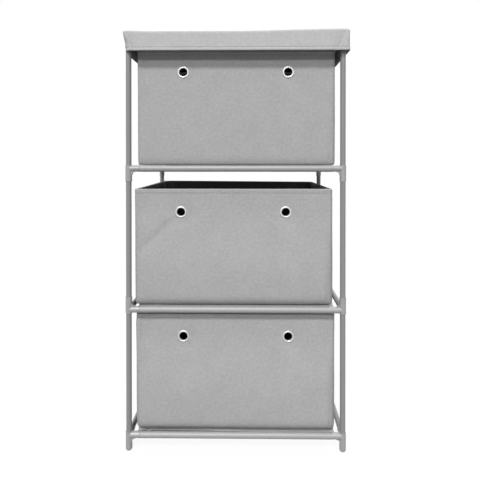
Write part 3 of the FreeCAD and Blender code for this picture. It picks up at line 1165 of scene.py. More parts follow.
@dataclass
class Drawer(Sewn):
    """A stiffened fabric box: outer cloth, hem, black lining and two eyelets.

    Attributes:
        corner: Outside radius of the upright corners.
        cloth: Thickness of the outer cloth.
        wall: Thickness of the whole wall.
        foot: Radius of the lower edges.
        rows: Heights at which the walls' cells end, start at half the size, and end again.
        under: Insets of the last rows under the floor.
        rim: Insets between which the cloth comes to lie flat.
        spread: How much wider the mouth is than the bottom, each side.
        swell: Wide unevenness of the outer cloth.
        uneven: Narrow unevenness of it.
        tuck: How far the cloth is drawn back under the front edge.
        tuck_height: Height up to which it's drawn back.
        slack: How the cloth stands off the boards.
        widening: How it stands off the side walls.
        rear_lift: How much higher the mouth stands at the rear left.
        lift_start: Distance from the front at which that starts.
        lift_end: Distance below the mouth at which it has gone out.
        crease: The crease below the left eyelet.
        pucker: The cloth round the eyelets.
        hem: The hem round the mouth.
        inside: The lining.
        eyelet: Sizes of the eyelets.
        step: Size of the cloth's cells.
    """

    corner: float = 6.0 * MM
    cloth: float = 1.0 * MM
    wall: float = 4.3 * MM
    foot: float = 2.6 * MM
    rows: tuple[float, float, float] = (24.0 * MM, 21.5 * MM, 4.0 * MM)
    under: Pair = (9.0 * MM, 25.0 * MM)
    rim: Pair = (9.0 * MM, 3.0 * MM)
    spread: float = 0.9 * MM
    swell: Waves = Waves(0.28 * MM, 120.0 * MM)
    uneven: Waves = Waves(0.10 * MM, 34.0 * MM, 7.0)
    tuck: float = 1.2 * MM
    tuck_height: float = 4.0 * MM
    slack: Slack = Slack()
    widening: Widening = Widening()
    rear_lift: float = 0.0
    lift_start: float = 40.0 * MM
    lift_end: float = 80.0 * MM
    crease: Crease = Crease()
    pucker: Pucker = Pucker()
    hem: Hem = Hem()
    inside: LiningCut = LiningCut()
    eyelet: EyeletSize = EyeletSize()
    step: float = 5.0 * MM

    def __post_init__(self) -> None:
        """Measure the drawer in the frame."""
        low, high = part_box(f"{self.name}_shell")
        self.bottom = low.z
        self.height = high.z - low.z
        margin = Vector((self.hem.proud, self.hem.proud, 0.0))
        self.plan = Plan(low + margin, high - margin, self.corner, self.corner, self.corner)
        low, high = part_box(f"{self.name}_eyelets")
        self.flange = (high.z - low.z) / 2
        self.eyelet_centres = [
            Vector((x, self.plan.low.y, low.z + self.flange))
            for x in (low.x + self.flange, high.x - self.flange)
        ]

    def build(self) -> None:
        """Make every piece of the drawer."""
        shell, stitches = self._shell(), self._hem_stitches()
        lining, eyelets = self._lining(), self._eyelets()
        hand_over([shell, stitches], self.name)
        hand_over([lining], self.name)
        hand_over([eyelets], self.name)
        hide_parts(f"{self.name}_shell")
        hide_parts(f"{self.name}_lining")
        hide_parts(f"{self.name}_eyelets")
        turn_in = 2 * self.wall
        self._declare(shell, 0.0, self.height + turn_in, [stitches])
        self._declare(lining, self.cloth, self.height, [])

    def _declare(self, piece: Piece, inset: float, rise: float, trims: list[Piece]) -> None:
        """Do nothing: no record is made of what a box of cloth was cut from.

        Args:
            piece: The box of cloth. Not used.
            inset: How far it lies inside the drawer's outside. Not used.
            rise: Height of its walls on the flat cloth. Not used.
            trims: The pieces that are sewn to it. Not used.
        """

    def _swell(self, station: Station, drop: float) -> float:
        """How far the outer cloth stands off its plan.

        Args:
            station: The place on the drawer's plan.
            drop: Distance below the mouth.

        Returns:
            The distance, outwards.
        """
        slack = self.slack
        above = self.height - drop
        place = station.at + UP * (self.bottom + self.height - drop)
        swell = self.spread * (1.0 - drop / self.height) * abs(station.out.x)
        swell += self.swell.at(place, self.seed)
        swell += self.uneven.at(place, self.seed)
        drawn = max(0.0, 1.0 - above / self.tuck_height) ** 2
        swell -= self.tuck * drawn * max(0.0, -station.out.y)
        foot = 1.0 - math.exp(-(above / slack.foot) ** slack.foot_power)
        tight = 1.0 - min(1.0, self.plan.corner_distance(station.at) / slack.side)
        beside = 1.0 - tight ** slack.side_power
        loose = (slack.front if station.out.y < 0.0 else slack.rear) * foot
        loose *= smoothstep(*slack.top, drop)
        loose *= beside
        loose *= mix(slack.side_walls, 1.0, abs(station.out.y))
        loose *= 1.0 + slack.wave.at(place, self.seed)
        if station.out.y < -STRAIGHT:
            loose, pucker = self._clamped(place, loose)
            swell += pucker + self._creased(place, loose)
        return swell + loose

    def _widened(self, station: Station, drop: float) -> float:
        """How far the outer cloth stands off a side wall.

        Args:
            station: The place on the drawer's plan.
            drop: Distance below the mouth.

        Returns:
            The distance, outwards.
        """
        wide = self.widening
        right = station.out.x > 0.0
        above = self.height - drop
        side = wide.even[right] + wide.mouth[right] * (above / self.height) ** wide.power
        side *= mix(wide.held, 1.0, smoothstep(0.0, wide.hem, drop)) * smoothstep(*wide.foot, above)
        return side * abs(station.out.x)

    def _creased(self, place: Vector, loose: float) -> float:
        """How far the cloth stands out beside the crease.

        Args:
            place: The point on the front.
            loose: The slack there, which is all that the groove can take in.

        Returns:
            The distance, below zero in the groove.
        """
        crease = self.crease
        away = place - self.eyelet_centres[0]
        slant = math.radians(crease.slant)
        along = -away.x * math.cos(slant) - away.z * math.sin(slant)
        above = away.z * math.cos(slant) - away.x * math.sin(slant)
        run = crease.height * smoothstep(self.flange, self.flange + crease.start, along)
        rise = max(0.0, above)
        ridge = (1.0 - math.exp(-rise / crease.rise)) * math.exp(-rise / crease.fall)
        ridge *= smoothstep(0.0, crease.corner, place.x - self.plan.low.x)
        groove = crease.groove * math.exp(-(above / crease.width) ** 2)
        return run * ridge - min(run * groove, loose + crease.bite)

    def _clamped(self, place: Vector, loose: float) -> Pair:
        """What an eyelet, which clamps the cloth to its board, leaves of the slack.

        Args:
            place: The point on the front.
            loose: The slack that the cloth has there without the eyelets.

        Returns:
            The slack that is left, and the pucker beside the flange.
        """
        drawn = self.pucker
        pucker = 0.0
        for centre in self.eyelet_centres:
            away = place - centre
            distance = math.hypot(away.x, away.z)
            near = smoothstep(self.flange + drawn.reach, self.flange - drawn.grip, distance)
            folds = math.cos(drawn.folds * math.atan2(away.z, away.x) + drawn.turn * self.seed)
            ring = near * smoothstep(self.flange - drawn.start, self.flange + drawn.start, distance)
            loose *= 1.0 - near
            pucker += drawn.fold * ring * folds - drawn.sunk * near
        return loose, pucker

    def _face(self, station: Station, inset: float, drop: float) -> Vector:
        """A point of the outer cloth.

        Args:
            station: The place on the drawer's plan.
            inset: Distance inside that plan.
            drop: Distance below the mouth.

        Returns:
            The point.
        """
        swell = self._swell(station, drop) * smoothstep(*self.rim, inset)
        swell += self._widened(station, drop) * smoothstep(*self.widening.rim, inset)
        return self._lifted(self.plan.inside(station, inset) + station.out * swell, drop)

    def _lifted(self, place: Vector, drop: float) -> Vector:
        """Set a point of a plan at its height, higher towards the rear left of the mouth.

        Args:
            place: The point on the plan.
            drop: Distance below the mouth.

        Returns:
            The point.
        """
        back = smoothstep(self.plan.low.y + self.lift_start, self.plan.high.y, place.y)
        left = (self.plan.high.x - place.x) / (self.plan.high.x - self.plan.low.x)
        lift = self.rear_lift * back * left * smoothstep(self.lift_end, 0.0, drop)
        return Vector((place.x, place.y, self.bottom + self.height - drop + lift))

    def _profile(self) -> Profile:
        """Insets and drops of the outer cloth, from inside the rim to under the floor.

        Returns:
            The profile.
        """
        hem = self.hem
        lip = self.wall + hem.lip
        made = [(lip, hem.inner + hem.end)]
        made += arc((lip - hem.inner, hem.inner), hem.inner, 0.0, -90.0, steps=3)
        made += arc((hem.outer - hem.proud, hem.outer), hem.outer, -90.0, -180.0, steps=5)
        for start, stretch in ((hem.row, hem.groove), (hem.depth, hem.edge)):
            made += [(-hem.proud * share, start + below) for share, below in stretch]
        coarse_end, fine_start, fine_end = (self.height - above for above in self.rows)
        walls = even_steps(hem.depth + self.step, coarse_end, self.step)
        walls += even_steps(fine_start, fine_end, self.step / 2)
        made += [(0.0, drop) for drop in walls]
        made += arc((self.foot, self.height - self.foot), self.foot, 180.0, 90.0, steps=4)
        return made + [(inset, self.height) for inset in self.under]

    def _shell(self) -> Piece:
        """The outer cloth with its hem, walls and floor.

        Returns:
            The piece.
        """
        ring = self.plan.ring(self.step)
        profile = self._profile()
        rows = [[self._face(station, *place) for station in ring] for place in profile]
        flat = [[(station.along, -down) for station in ring] for down in depths(profile)]
        cloth = Cloth(f"{self.name}_outer_cloth", rows, flat, self.cloth, capped=True)
        return cloth.build(self.finishes.drawer, self._holes())

    def _holes(self) -> list[Hole]:
        """The two holes that the eyelets go through."""
        radius = self.flange - self.eyelet.lap
        return [Hole(centre, radius, self.eyelet.reach) for centre in self.eyelet_centres]

    def _hem_stitches(self) -> Piece:
        """One row of stitches round the mouth, in the hem's groove."""
        line = [self._face(station, -self.hem.thread, self.hem.row) for station in self.plan.ring(self.step)]
        return self.sewing.row(f"{self.name}_hem_stitches", [line], int(self.seed) + 1)

    def _lining(self) -> Piece:
        """The black lining: walls from just under the rim, loose in the rear corners, and floor.

        Returns:
            The piece.
        """
        cut = self.inside
        margin = Vector((self.wall, self.wall, 0.0))
        front = self.corner - cut.corner
        plan = Plan(self.plan.low + margin, self.plan.high - margin, front, front, cut.rear_corner)
        ring = plan.ring(cut.step)
        floor = self.height - self.wall
        profile = [(0.0, drop) for drop in even_steps(cut.top, floor - cut.foot, cut.row)]
        profile += arc((cut.foot, floor - cut.foot), cut.foot, 180.0, 90.0, steps=4)[1:]
        rows = [[self._lining_face(plan, station, *place) for station in ring] for place in profile]
        flat = [[(station.along, -down) for station in ring] for down in depths(profile)]
        cloth = Cloth(f"{self.name}_lining_cloth", rows, flat, cut.thickness, turned=True, capped=True)
        return cloth.build(self.finishes.lining, self._holes())

    def _lining_face(self, plan: Plan, station: Station, inset: float, drop: float) -> Vector:
        """A point of the lining's face.

        Args:
            plan: The lining's plan.
            station: The place on that plan.
            inset: Distance inside that plan.
            drop: Distance below the mouth.

        Returns:
            The point.
        """
        place = station.at + UP * (self.bottom + self.height - drop)
        loose = self.inside.wave.above(place, self.seed)
        if abs(station.out.y) > NEARLY_STRAIGHT:
            loose *= smoothstep(0.0, self.inside.held, drop)
        nearest = min(hole.distance(place) for hole in self._holes())
        loose *= smoothstep(self.flange, self.flange + self.inside.clamped, nearest)
        face = plan.inside(station, inset) - station.out * loose
        face += station.out * self.spread * abs(station.out.x) * (1.0 - drop / self.height)
        return self._lifted(face, drop)

    def _eyelets(self) -> Piece:
        """Both eyelets: rolled flange, barrel and washer, each a closed turned shape.

        Returns:
            The piece.
        """
        size = self.eyelet
        bore = self.flange - size.flange
        middle = (self.flange + bore) / 2
        half = (self.flange - bore) / 2
        radii = (bore + size.barrel, self.flange - size.edge)
        front = arc((0.0, 0.0), 1.0, 0.0, 180.0, steps=14)
        back = arc((0.0, 0.0), 1.0, 170.0, 0.0, steps=10)
        first, step = size.bore_rows
        profile = [(middle + half * c, -size.crown * s) for c, s in front]
        profile += [(bore, depth) for depth in even_steps(first, self.wall, step)]
        profile += [(middle + half * c, self.wall + size.washer * s) for c, s in back]
        profile += [(radius, self.wall - gap) for radius, gap in zip(radii, size.washer_front)][::-1]
        profile += zip(radii, size.flange_rear)
        mesh = bmesh.new()
        for centre in self.eyelet_centres:
            self._lathe(mesh, profile, centre)
        bmesh.ops.recalc_face_normals(mesh, faces=mesh.faces)
        piece = solid(f"{self.name}_nickel_eyelets", mesh, self.finishes.nickel)
        smooth(piece, size.crisp)
        return piece

    def _lathe(self, mesh: Shape, profile: Profile, centre: Vector) -> None:
        """Turn a closed profile of radii and depths about an axis along Y.

        Args:
            mesh: The mesh that receives the shape.
            profile: Pairs of radius and depth behind the wall's face.
            centre: The axis, at the wall's face.
        """
        sides = self.eyelet.sides
        rings = []
        for radius, depth in profile:
            places = arc((0.0, 0.0), radius, 0.0, 360.0, sides)[:-1]
            rings.append([mesh.verts.new(centre + Vector((c, depth, s))) for c, s in places])
        for first, second in zip(rings, [*rings[1:], rings[0]]):
            for k in range(sides):
                after = (k + 1) % sides
                mesh.faces.new((first[k], first[after], second[after], second[k]))


# ---- Shelves ----

@dataclass(frozen=True)
class ShelfFold:
    """A loose fold of cloth that lies along the front sleeve, before a drawer.

    Attributes:
        height: Its height at the left end.
        end: Where it has run out, along X.
        inset: Distance of its left end from the shelf's.
        start: Distances from its left end over which it rises, and from which it runs out.
        power: How sharply it runs out.
        wave: How much its height varies, as a share.
        pinch: Where it's pinched flat, along X.
        pinch_width: Distances from there between which it's flat.
        pinched: How much of the height the pinch takes.
        back: Distances of its rear edge and of its foot behind the rail.
        lean: How far it leans forward.
        slope: How much further it leans for its height.
        sunk: How deep its foot reaches into the shelf.
        step: Size of its cells along the rail.
        row: Share of its width from one row to the next.
        thickness: Thickness of the cloth.
        width: Width of the strip over the fold.
        flat: Width of the strip that is gathered.
        kept: Share of its height that is left when it's pressed flat.
    """

    height: float
    end: float = 90.0 * MM
    inset: float = 0.5 * MM
    start: Pair = (5.0 * MM, 30.0 * MM)
    power: float = 1.5
    wave: Waves = Waves(0.3, 18.0 * MM, 2.0)
    pinch: float = -176.0 * MM
    pinch_width: Pair = (6.5 * MM, 2.0 * MM)
    pinched: float = 0.9
    back: Pair = (10.0 * MM, 2.2 * MM)
    lean: float = 2.4 * MM
    slope: float = 0.45
    sunk: float = 0.3 * MM
    step: float = 2.5 * MM
    row: float = 0.125
    thickness: float = 0.5 * MM
    width: float = 13.0 * MM
    flat: float = 12.0 * MM
    kept: float = 0.08

    def run(self, x: float, left: float) -> float:
        """Share of its height that the fold has at X, when it starts at left."""
        rise, fall = self.start
        return smoothstep(self.end, left + fall, x) ** self.power * smoothstep(left, left + rise, x)

    def uneven(self, x: float, seed: float) -> float:
        """Factor by which its height varies at X."""
        wave = 1.0 + self.wave.at(Vector((x, 0.0, 0.0)), seed)
        return wave * (1.0 - self.pinched * smoothstep(*self.pinch_width, abs(x - self.pinch)))


@dataclass
class Shelf(Sewn):
    """A fabric shelf, stretched between two sleeves that go round the front and rear rails.

    Attributes:
        cloth: Thickness of the cloth.
        ease: How far the sleeve stands off the frame's own sleeve.
        seam: Distance from the rail's axis to the seam that closes the sleeve.
        seam_gap: Distance between the cloth's faces there, as a number of thicknesses.
        near: Distances from a rail's axis between which the cells are short, and their size.
        far: Distance from it at which they are long, and their size.
        top: Shares of the sleeve's radius between which its top is loose.
        sag: How far the cloth hangs in the middle.
        sag_power: How evenly it hangs. Below 1 it hangs more evenly.
        sag_wave: How much that varies, as a share.
        reach: How much longer the sleeves are than the frame's, each end.
        wave: How loose the sleeve is on top of the rail.
        gathers: Depth of the gathers towards the sleeve's ends.
        gather_turn: Their lengths for each radian, along the rail and upwards.
        ends: Shares of the half width between which gathers and ears come in.
        ear: How much wider than the sleeves the cloth is between them.
        ear_turn: Distances behind a sleeve between which the ears come in.
        edge: How far inside the sleeve's end the cloth starts to droop.
        droop: How far the front corners of the wider part hang down.
        edge_droop: The same in the middle of the sides.
        corner: Distances behind the rail between which the corners end.
        dip: How far the seams behind the rails draw the cloth down.
        dip_rise: Distances behind the rail's axis between which that comes in.
        dip_fall: Distances between which it goes out.
        hem: Distance of the side hems from the sleeves' ends.
        hem_end: Distance of their ends from the rails' axes.
        seam_row: Distance of the seams' stitches from the seams.
        seam_end: Distance of their ends from the sleeves' ends.
        step: Size of the cloth's cells along the rails.
        fold: The loose fold in front of the drawer, if it has one.
        drawer: The drawer in front of which the fold lies.
    """

    cloth: float = 0.7 * MM
    ease: float = 0.15 * MM
    seam: float = 15.0 * MM
    seam_gap: float = 2.0
    near: tuple[float, float, float] = (2.0 * MM, 20.0 * MM, 2.0 * MM)
    far: Pair = (26.0 * MM, 6.0 * MM)
    top: Pair = (1.02, 0.75)
    sag: float = 3.0 * MM
    sag_power: float = 0.8
    sag_wave: Waves = Waves(0.25, 90.0 * MM)
    reach: float = 1.6 * MM
    wave: Waves = Waves(0.12 * MM, 30.0 * MM)
    gathers: float = 0.22 * MM
    gather_turn: Pair = (1.9 * MM, 3.0 * MM)
    ends: Pair = (0.8, 1.0)
    ear: float = 8.0 * MM
    ear_turn: Pair = (-1.0 * MM, 5.0 * MM)
    edge: float = 3.0 * MM
    droop: float = 6.0 * MM
    edge_droop: float = 1.5 * MM
    corner: Pair = (40.0 * MM, 12.0 * MM)
    dip: float = 1.0 * MM
    dip_rise: Pair = (0.5 * MM, 6.5 * MM)
    dip_fall: Pair = (19.0 * MM, 10.0 * MM)
    hem: float = 3.0 * MM
    hem_end: float = 16.0 * MM
    seam_row: float = 1.5 * MM
    seam_end: float = 2.0 * MM
    step: float = 4.0 * MM
    fold: ShelfFold | None = None
    drawer: str = ""

    def __post_init__(self) -> None:
        """Measure the shelf in the frame."""
        self.low, self.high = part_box(self.name)
        self.half = self.high.x + self.reach
        self.sleeve = (self.high.z - self.low.z) / 2
        self.axis_z = (self.high.z + self.low.z) / 2
        self.front = self.low.y + self.sleeve
        self.rear = self.high.y - self.sleeve

    def build(self) -> None:
        """Make the cloth and its seams."""
        section = self._section()
        columns = even_steps(-self.half, self.half, self.step)
        rows = [[self._drape(Vector((x, y, z))) for x in columns] for y, z in section]
        downs = depths(section)
        flat = [[(x, down) for x in columns] for down in downs]
        piece = Cloth(f"{self.name}_cloth", rows, flat, self.cloth).build(self.finishes.shelf)
        stitches = self._stitches()
        hand_over([piece, stitches], "frame")
        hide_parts(self.name)
        if self.fold:
            self._fold(self.fold)

    def _section(self) -> Profile:
        """The cloth's face in side view, as Y and Z, from the rear seam to the front one.

        Returns:
            The profile.
        """
        radius = self.sleeve + self.ease
        under = (self.seam, radius - self.seam_gap * self.cloth)
        reach = math.hypot(*under)
        start = math.degrees(math.atan2(under[1], under[0]) - math.acos(radius / reach))
        loop = arc((0.0, 0.0), radius, start, -270.0, steps=22)
        tail = [tuple(Vector(under).lerp(Vector(loop[0]), share)) for share in (0.0, 0.33, 0.67)]
        front = [*tail, *loop]
        front_half = [(self.front + y, self.axis_z + z) for y, z in front]
        rear_half = [(self.rear - y, self.axis_z + z) for y, z in front]
        near = even_steps(*self.near)
        far, step = self.far
        web = [self.front + y for y in near]
        web += even_steps(self.front + far, self.rear - far, step)
        web += [self.rear - y for y in near[::-1]]
        made = front_half + [(y, self.axis_z + radius) for y in web] + rear_half[::-1]
        return made[::-1]

    def _drape(self, place: Vector) -> Vector:
        """Sag and wrinkle a point of the cloth.

        Args:
            place: The point on the straight cloth.

        Returns:
            The point.
        """
        depth = (place.y - self.front) / (self.rear - self.front)
        end = abs(place.x) / self.half
        if 0.0 < depth < 1.0 and place.z > self.axis_z:
            return self._web(place, depth, end)
        centre = Vector((place.x, self.front if depth < 0.5 else self.rear, self.axis_z))
        away = place - centre
        top = smoothstep(self.sleeve * self.top[0], self.sleeve * self.top[1], away.z)
        along, up = self.gather_turn
        gathers = 1.0 + math.sin(place.x / along + self.seed + away.z / up)
        loose = self.wave.above(place, self.seed)
        loose += self.gathers * smoothstep(*self.ends, end) * gathers
        return place + away.normalized() * loose * top

    def _web(self, place: Vector, depth: float, end: float) -> Vector:
        """A point between the sleeves: it sags, and its edges reach further out and droop.

        Args:
            place: The point on the straight cloth.
            depth: From 0 at the front rail to 1 at the rear one.
            end: From 0 in the middle to 1 at the sleeves' ends.

        Returns:
            The point.
        """
        hang = math.sin(math.pi * depth) ** self.sag_power * self.sag
        hang *= 1.0 + self.sag_wave.at(place, self.seed)
        behind = min(place.y - self.front, self.rear - place.y)
        drawn = smoothstep(*self.dip_rise, behind) * smoothstep(*self.dip_fall, behind)
        hang = max(hang, self.dip * drawn)
        near, far = self.ear_turn
        wide = smoothstep(self.sleeve + near, self.sleeve + far, behind)
        x = place.x * (1.0 + wide * self.ear / self.half * smoothstep(*self.ends, end))
        edge = smoothstep(self.half - self.edge, self.half + self.ear, abs(x))
        droop = mix(self.edge_droop, self.droop, smoothstep(*self.corner, behind))
        return Vector((x, place.y, place.z - hang - edge * droop * wide))

    def _fold(self, fold: ShelfFold) -> None:
        """Lay the loose fold along the front sleeve.

        Args:
            fold: Its sizes.
        """
        top = self.axis_z + self.sleeve + self.ease
        start = fold.inset - self.half
        columns = even_steps(start, fold.end, fold.step)
        shares = even_steps(0.0, 1.0, fold.row)[::-1]
        rows = []
        for share in shares:
            up = max(0.0, 2.0 * share - 1.0)
            foot = mix(*fold.back, min(1.0, 2.0 * share))
            row = []
            for x in columns:
                run = fold.run(x, start)
                rise = fold.height * run * fold.uneven(x, self.seed) * math.sin(0.5 * math.pi * up)
                back = foot - fold.lean * up * run - fold.slope * rise * up
                bed = self.dip * smoothstep(*self.dip_rise, back) - fold.sunk
                row.append(Vector((x, self.front + back, top - bed + rise)))
            rows.append(row)
        flat = [[(x, share * fold.width) for x in columns] for share in shares]
        cloth = Cloth(f"{self.name}_front_fold", rows, flat, fold.thickness)
        piece = cloth.build(self.finishes.shelf)
        hand_over([piece], "frame")
        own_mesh(piece)

    def _stitches(self) -> Piece:
        """Two seams along the sleeves and one hem along each side.

        Returns:
            The piece.
        """
        top = self.axis_z + self.sleeve + self.ease
        xs = even_steps(self.seam_end - self.half, self.half - self.seam_end, 2 * self.step)
        ys = even_steps(self.front + self.hem_end, self.rear - self.hem_end, 2 * self.step)
        seams = (self.front + self.seam - self.seam_row, self.rear - self.seam + self.seam_row)
        lines = [[self._drape(Vector((x, y, top))) for x in xs] for y in seams]
        for side in (-1.0, 1.0):
            lines.append([self._drape(Vector((side * (self.half - self.hem), y, top))) for y in ys])
        return self.sewing.row(f"{self.name}_seam_stitches", lines, int(self.seed) + 40)


# ---- Cover ----

@dataclass(frozen=True)
class Rise:
    """How far the cover stands up from its board.

    Attributes:
        right: Height of the raised front right corner.
        right_from: Where that starts, along X.
        left: Height of the raised front left corner.
        left_from: Where that starts, along X and along Y.
        welt: Height of the seam along the front.
        welt_width: Distances from the front between which the welt comes in.
    """

    right: float = 3.8 * MM
    right_from: float = -10.0 * MM
    left: float = 1.4 * MM
    left_from: Pair = (-175.0 * MM, -120.0 * MM)
    welt: float = 0.7 * MM
    welt_width: Pair = (26.0 * MM, 5.0 * MM)


@dataclass(frozen=True)
class Hang:
    """How the cover's skirt hangs.

    Attributes:
        wave: How far it stands out at its hem.
        uneven: Narrow unevenness all over it.
        pull: How far the front left corner is drawn in at the hem.
        pull_x: Where along X that comes in.
        pull_y: Where along Y that comes in.
    """

    wave: Waves = Waves(0.45 * MM, 55.0 * MM)
    uneven: Waves = Waves(0.15 * MM, 16.0 * MM, 5.0)
    pull: float = 4.2 * MM
    pull_x: Pair = (-203.0 * MM, -216.0 * MM)
    pull_y: Pair = (-112.0 * MM, -158.0 * MM)


@dataclass
class Cover:
    """The fitted cover: top panel, skirt with folded front corners, and loose front flap.

    Attributes:
        finishes: The dresser's materials.
        sewing: The sewing of its hems.
        cloth: Thickness of the panel.
        skirt: Thickness of the skirt and of the flap.
        edge: Radius over which the skirt turns down from the top.
        corner: Radius of the upright corners.
        panel_inset: Distance from the cover's side to the panel's edge.
        panel_wave: How far the panel stands off the board.
        panel_step: Size of the panel's cells.
        panel_row: Distance of its stitches from its edge, and from one of their points to the next.
        panel_corner: Radius of their corners.
        clear: Gap between the board and the skirt, and between the panel and its stitches.
        lap: Distance from the cover's side to the end of the skirt under the panel.
        lapped: How far that end's flat part starts behind the panel's edge.
        lap_slope: Where the panel comes down beyond the skirt's end.
        hem: Height of the hem.
        groove: Insets of the cloth at the hem's stitches, with the distances below them.
        end: Inset of the cloth at its lower edge, and the distance that the hem ends above it.
        step: Size of the skirt's cells.
        row_inset: How far its stitches lie inside the plan.
        fold_top: Width of the folded triangle at its top.
        fold_power: How much its free edge is curved.
        fold_gap: Distance from the drawer's side to the triangle's foot.
        tucks: Length of cloth that the two triangles take up.
        roll_start: Distance from that edge at which the cloth rolls under.
        roll: The rolled edge, in millimetres before the edge and behind the face.
        opening: Drops between which the front corners open.
        loose_left: Radius to which the front left one opens.
        loose_right: Radius to which the front right one opens.
        under: How far the flap reaches under the triangles.
        behind: How far behind the skirt it lies under and between them.
        behind_turn: Distance from a triangle's edge over which that changes.
        calm: Distances from that edge between which the flap starts to ripple.
        cells: Number of the flap's cells from left to right.
        flap_row: Shares of its width at which its stitches start and end, and a step between.
        rise: How far the cover stands up from its board.
        hang: How its skirt hangs.
        skirt_seed: Gives the skirt its own unevenness.
        flap_seed: Gives the flap its own unevenness.
        drawer_clearance: Gap between the top drawer and the lifted flap.
    """

    finishes: Finishes
    sewing: Sewing
    cloth: float = 1.1 * MM
    skirt: float = 0.9 * MM
    edge: float = 3.0 * MM
    corner: float = 3.0 * MM
    panel_inset: float = 5.0 * MM
    panel_wave: Waves = Waves(0.20 * MM, 70.0 * MM, 3.0)
    panel_step: float = 7.0 * MM
    panel_row: Pair = (2.0 * MM, 8.0 * MM)
    panel_corner: float = 1.0 * MM
    clear: float = 0.05 * MM
    lap: float = 12.0 * MM
    lapped: float = 0.6 * MM
    lap_slope: Pair = (12.0 * MM, -1.0 * MM)
    hem: float = 6.0 * MM
    groove: tuple[Pair, ...] = (
        (0.0, -0.8 * MM), (0.65 * MM, 0.0), (-0.35 * MM, 0.8 * MM), (-0.5 * MM, 2.0 * MM),
        (-0.6 * MM, 4.0 * MM))
    end: Pair = (-0.2 * MM, 0.5 * MM)
    step: float = 6.0 * MM
    row_inset: float = 0.45 * MM
    fold_top: float = 2.0 * MM
    fold_power: float = 0.92
    fold_gap: float = 2.4 * MM
    tucks: float = 40.0 * MM
    roll_start: float = 2.7 * MM
    roll: tuple[Pair, ...] = (
        (2.6, 0.0), (1.9, 0.05), (1.3, 0.2), (0.8, 0.45), (0.35, 0.85), (0.0, 1.3))
    opening: Pair = (3.0 * MM, 26.0 * MM)
    loose_left: float = 15.0 * MM
    loose_right: float = 6.0 * MM
    under: float = 9.0 * MM
    behind: Pair = (2.2 * MM, 0.5 * MM)
    behind_turn: float = 12.0 * MM
    calm: Pair = (-3.0 * MM, 12.0 * MM)
    cells: int = 76
    flap_row: tuple[float, float, float] = (0.03, 0.97, 0.02)
    rise: Rise = Rise()
    hang: Hang = Hang()
    skirt_seed: float = 11.0
    flap_seed: float = 31.0
    drawer_clearance: float = 1.2 * MM

    def __post_init__(self) -> None:
        """Measure the cover in the frame."""
        self.low, self.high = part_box("top_cover")
        self.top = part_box("top_board")[1].z + self.skirt + self.clear
        self.drop = self.top - self.low.z
        self.row = self.drop - self.hem
        drawer_low, drawer_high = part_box("top_drawer_shell")
        self.fold_feet = (drawer_low.x - self.fold_gap, drawer_high.x + self.fold_gap)
        self.rim = drawer_high.z

    def build(self) -> None:
        """Make the panel, the skirt, the flap and their stitches."""
        panel, skirt, flap = self._panel(), self._skirt(), self._flap()
        edge_row, skirt_row, flap_row = self._panel_stitches(), self._skirt_stitches(), self._flap_stitches()
        hand_over([panel, skirt, flap, edge_row, skirt_row, flap_row], "frame")
        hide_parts("top_cover")
        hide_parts("top_cover")
        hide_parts("top_cover_front_flap")
        for piece in (flap, flap_row):
            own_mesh(piece)

    def _outline(self, drop: float) -> Plan:
        """The skirt's plan at a height: below the board the front corners get rounder.

        Args:
            drop: Distance below the cover's top.

        Returns:
            The plan.
        """
        share = smoothstep(*self.opening, drop)
        left, right = (mix(self.corner, loose, share) for loose in (self.loose_left, self.loose_right))
        return Plan(self.low, self.high, left, right, self.corner)

    def _lift(self, x: float, y: float) -> float:
        """How far the cloth stands up from the board: a welt in front, and raised front corners.

        Args:
            x: The place from left to right.
            y: The place from front to rear.

        Returns:
            The height.
        """
        rise = self.rise
        across = smoothstep(rise.right_from, self.high.x, x)
        forward = smoothstep(self.high.y, self.low.y, y)
        front = smoothstep(*rise.welt_width, y - self.low.y)
        left = smoothstep(rise.left_from[0], self.low.x, x) * smoothstep(rise.left_from[1], self.low.y, y)
        return rise.right * across * forward + rise.welt * front + rise.left * left

    def _panel_height(self, x: float, y: float) -> float:
        """Height of the panel's face: flat on the board, raised over the lapped seam.

        Args:
            x: The place from left to right.
            y: The place from front to rear.

        Returns:
            The height above the floor.
        """
        margin = min(x - self.low.x, self.high.x - x, y - self.low.y, self.high.y - y)
        far, near = (self.lap + slope for slope in self.lap_slope)
        seam = smoothstep(far, near, margin) * self.skirt
        rough = self.panel_wave.above(Vector((x, y, 0.0)), 0.0)
        return self.top - self.skirt + self.cloth + seam + rough + self._lift(x, y)

    def _panel(self) -> Piece:
        """The top panel, which lies on the board.

        Returns:
            The piece.
        """
        inset, step = self.panel_inset, self.panel_step
        xs = even_steps(self.low.x + inset, self.high.x - inset, step)
        ys = even_steps(self.high.y - inset, self.low.y + inset, step)
        rows = [[Vector((x, y, self._panel_height(x, y))) for x in xs] for y in ys]
        flat = [[(x, y) for x in xs] for y in ys]
        return Cloth("top_cover_panel", rows, flat, self.cloth).build(self.finishes.cover)

    def _panel_stitches(self) -> Piece:
        """One row round the panel, just inside its edge.

        Returns:
            The piece.
        """
        behind, step = self.panel_row
        inset = self.panel_inset + behind
        margin = Vector((inset, inset, 0.0))
        plan = Plan(self.low + margin, self.high - margin, *[self.panel_corner] * 3)
        places = [station.at.xy for station in plan.ring(step)]
        line = [Vector((x, y, self._panel_height(x, y) + self.clear)) for x, y in places]
        return self.sewing.row("top_cover_panel_stitches", [line], seed=61)

    def _wall(self) -> Profile:
        """Insets and drops of the skirt's face from under the panel to the hem.

        Returns:
            The profile.
        """
        rows = self.step / 2
        made = [(self.lap, 0.0), (self.panel_inset + self.lapped, 0.0)]
        made += arc((self.edge, self.edge), self.edge, -90.0, -180.0, steps=6)
        made += [(0.0, drop) for drop in even_steps(self.edge + rows, self.row - rows / 2, rows)]
        made += [(inset, self.row + below) for inset, below in self.groove]
        inset, hem_end = self.end
        return [*made, (made[-1][0], self.drop - hem_end), (inset, self.drop)]

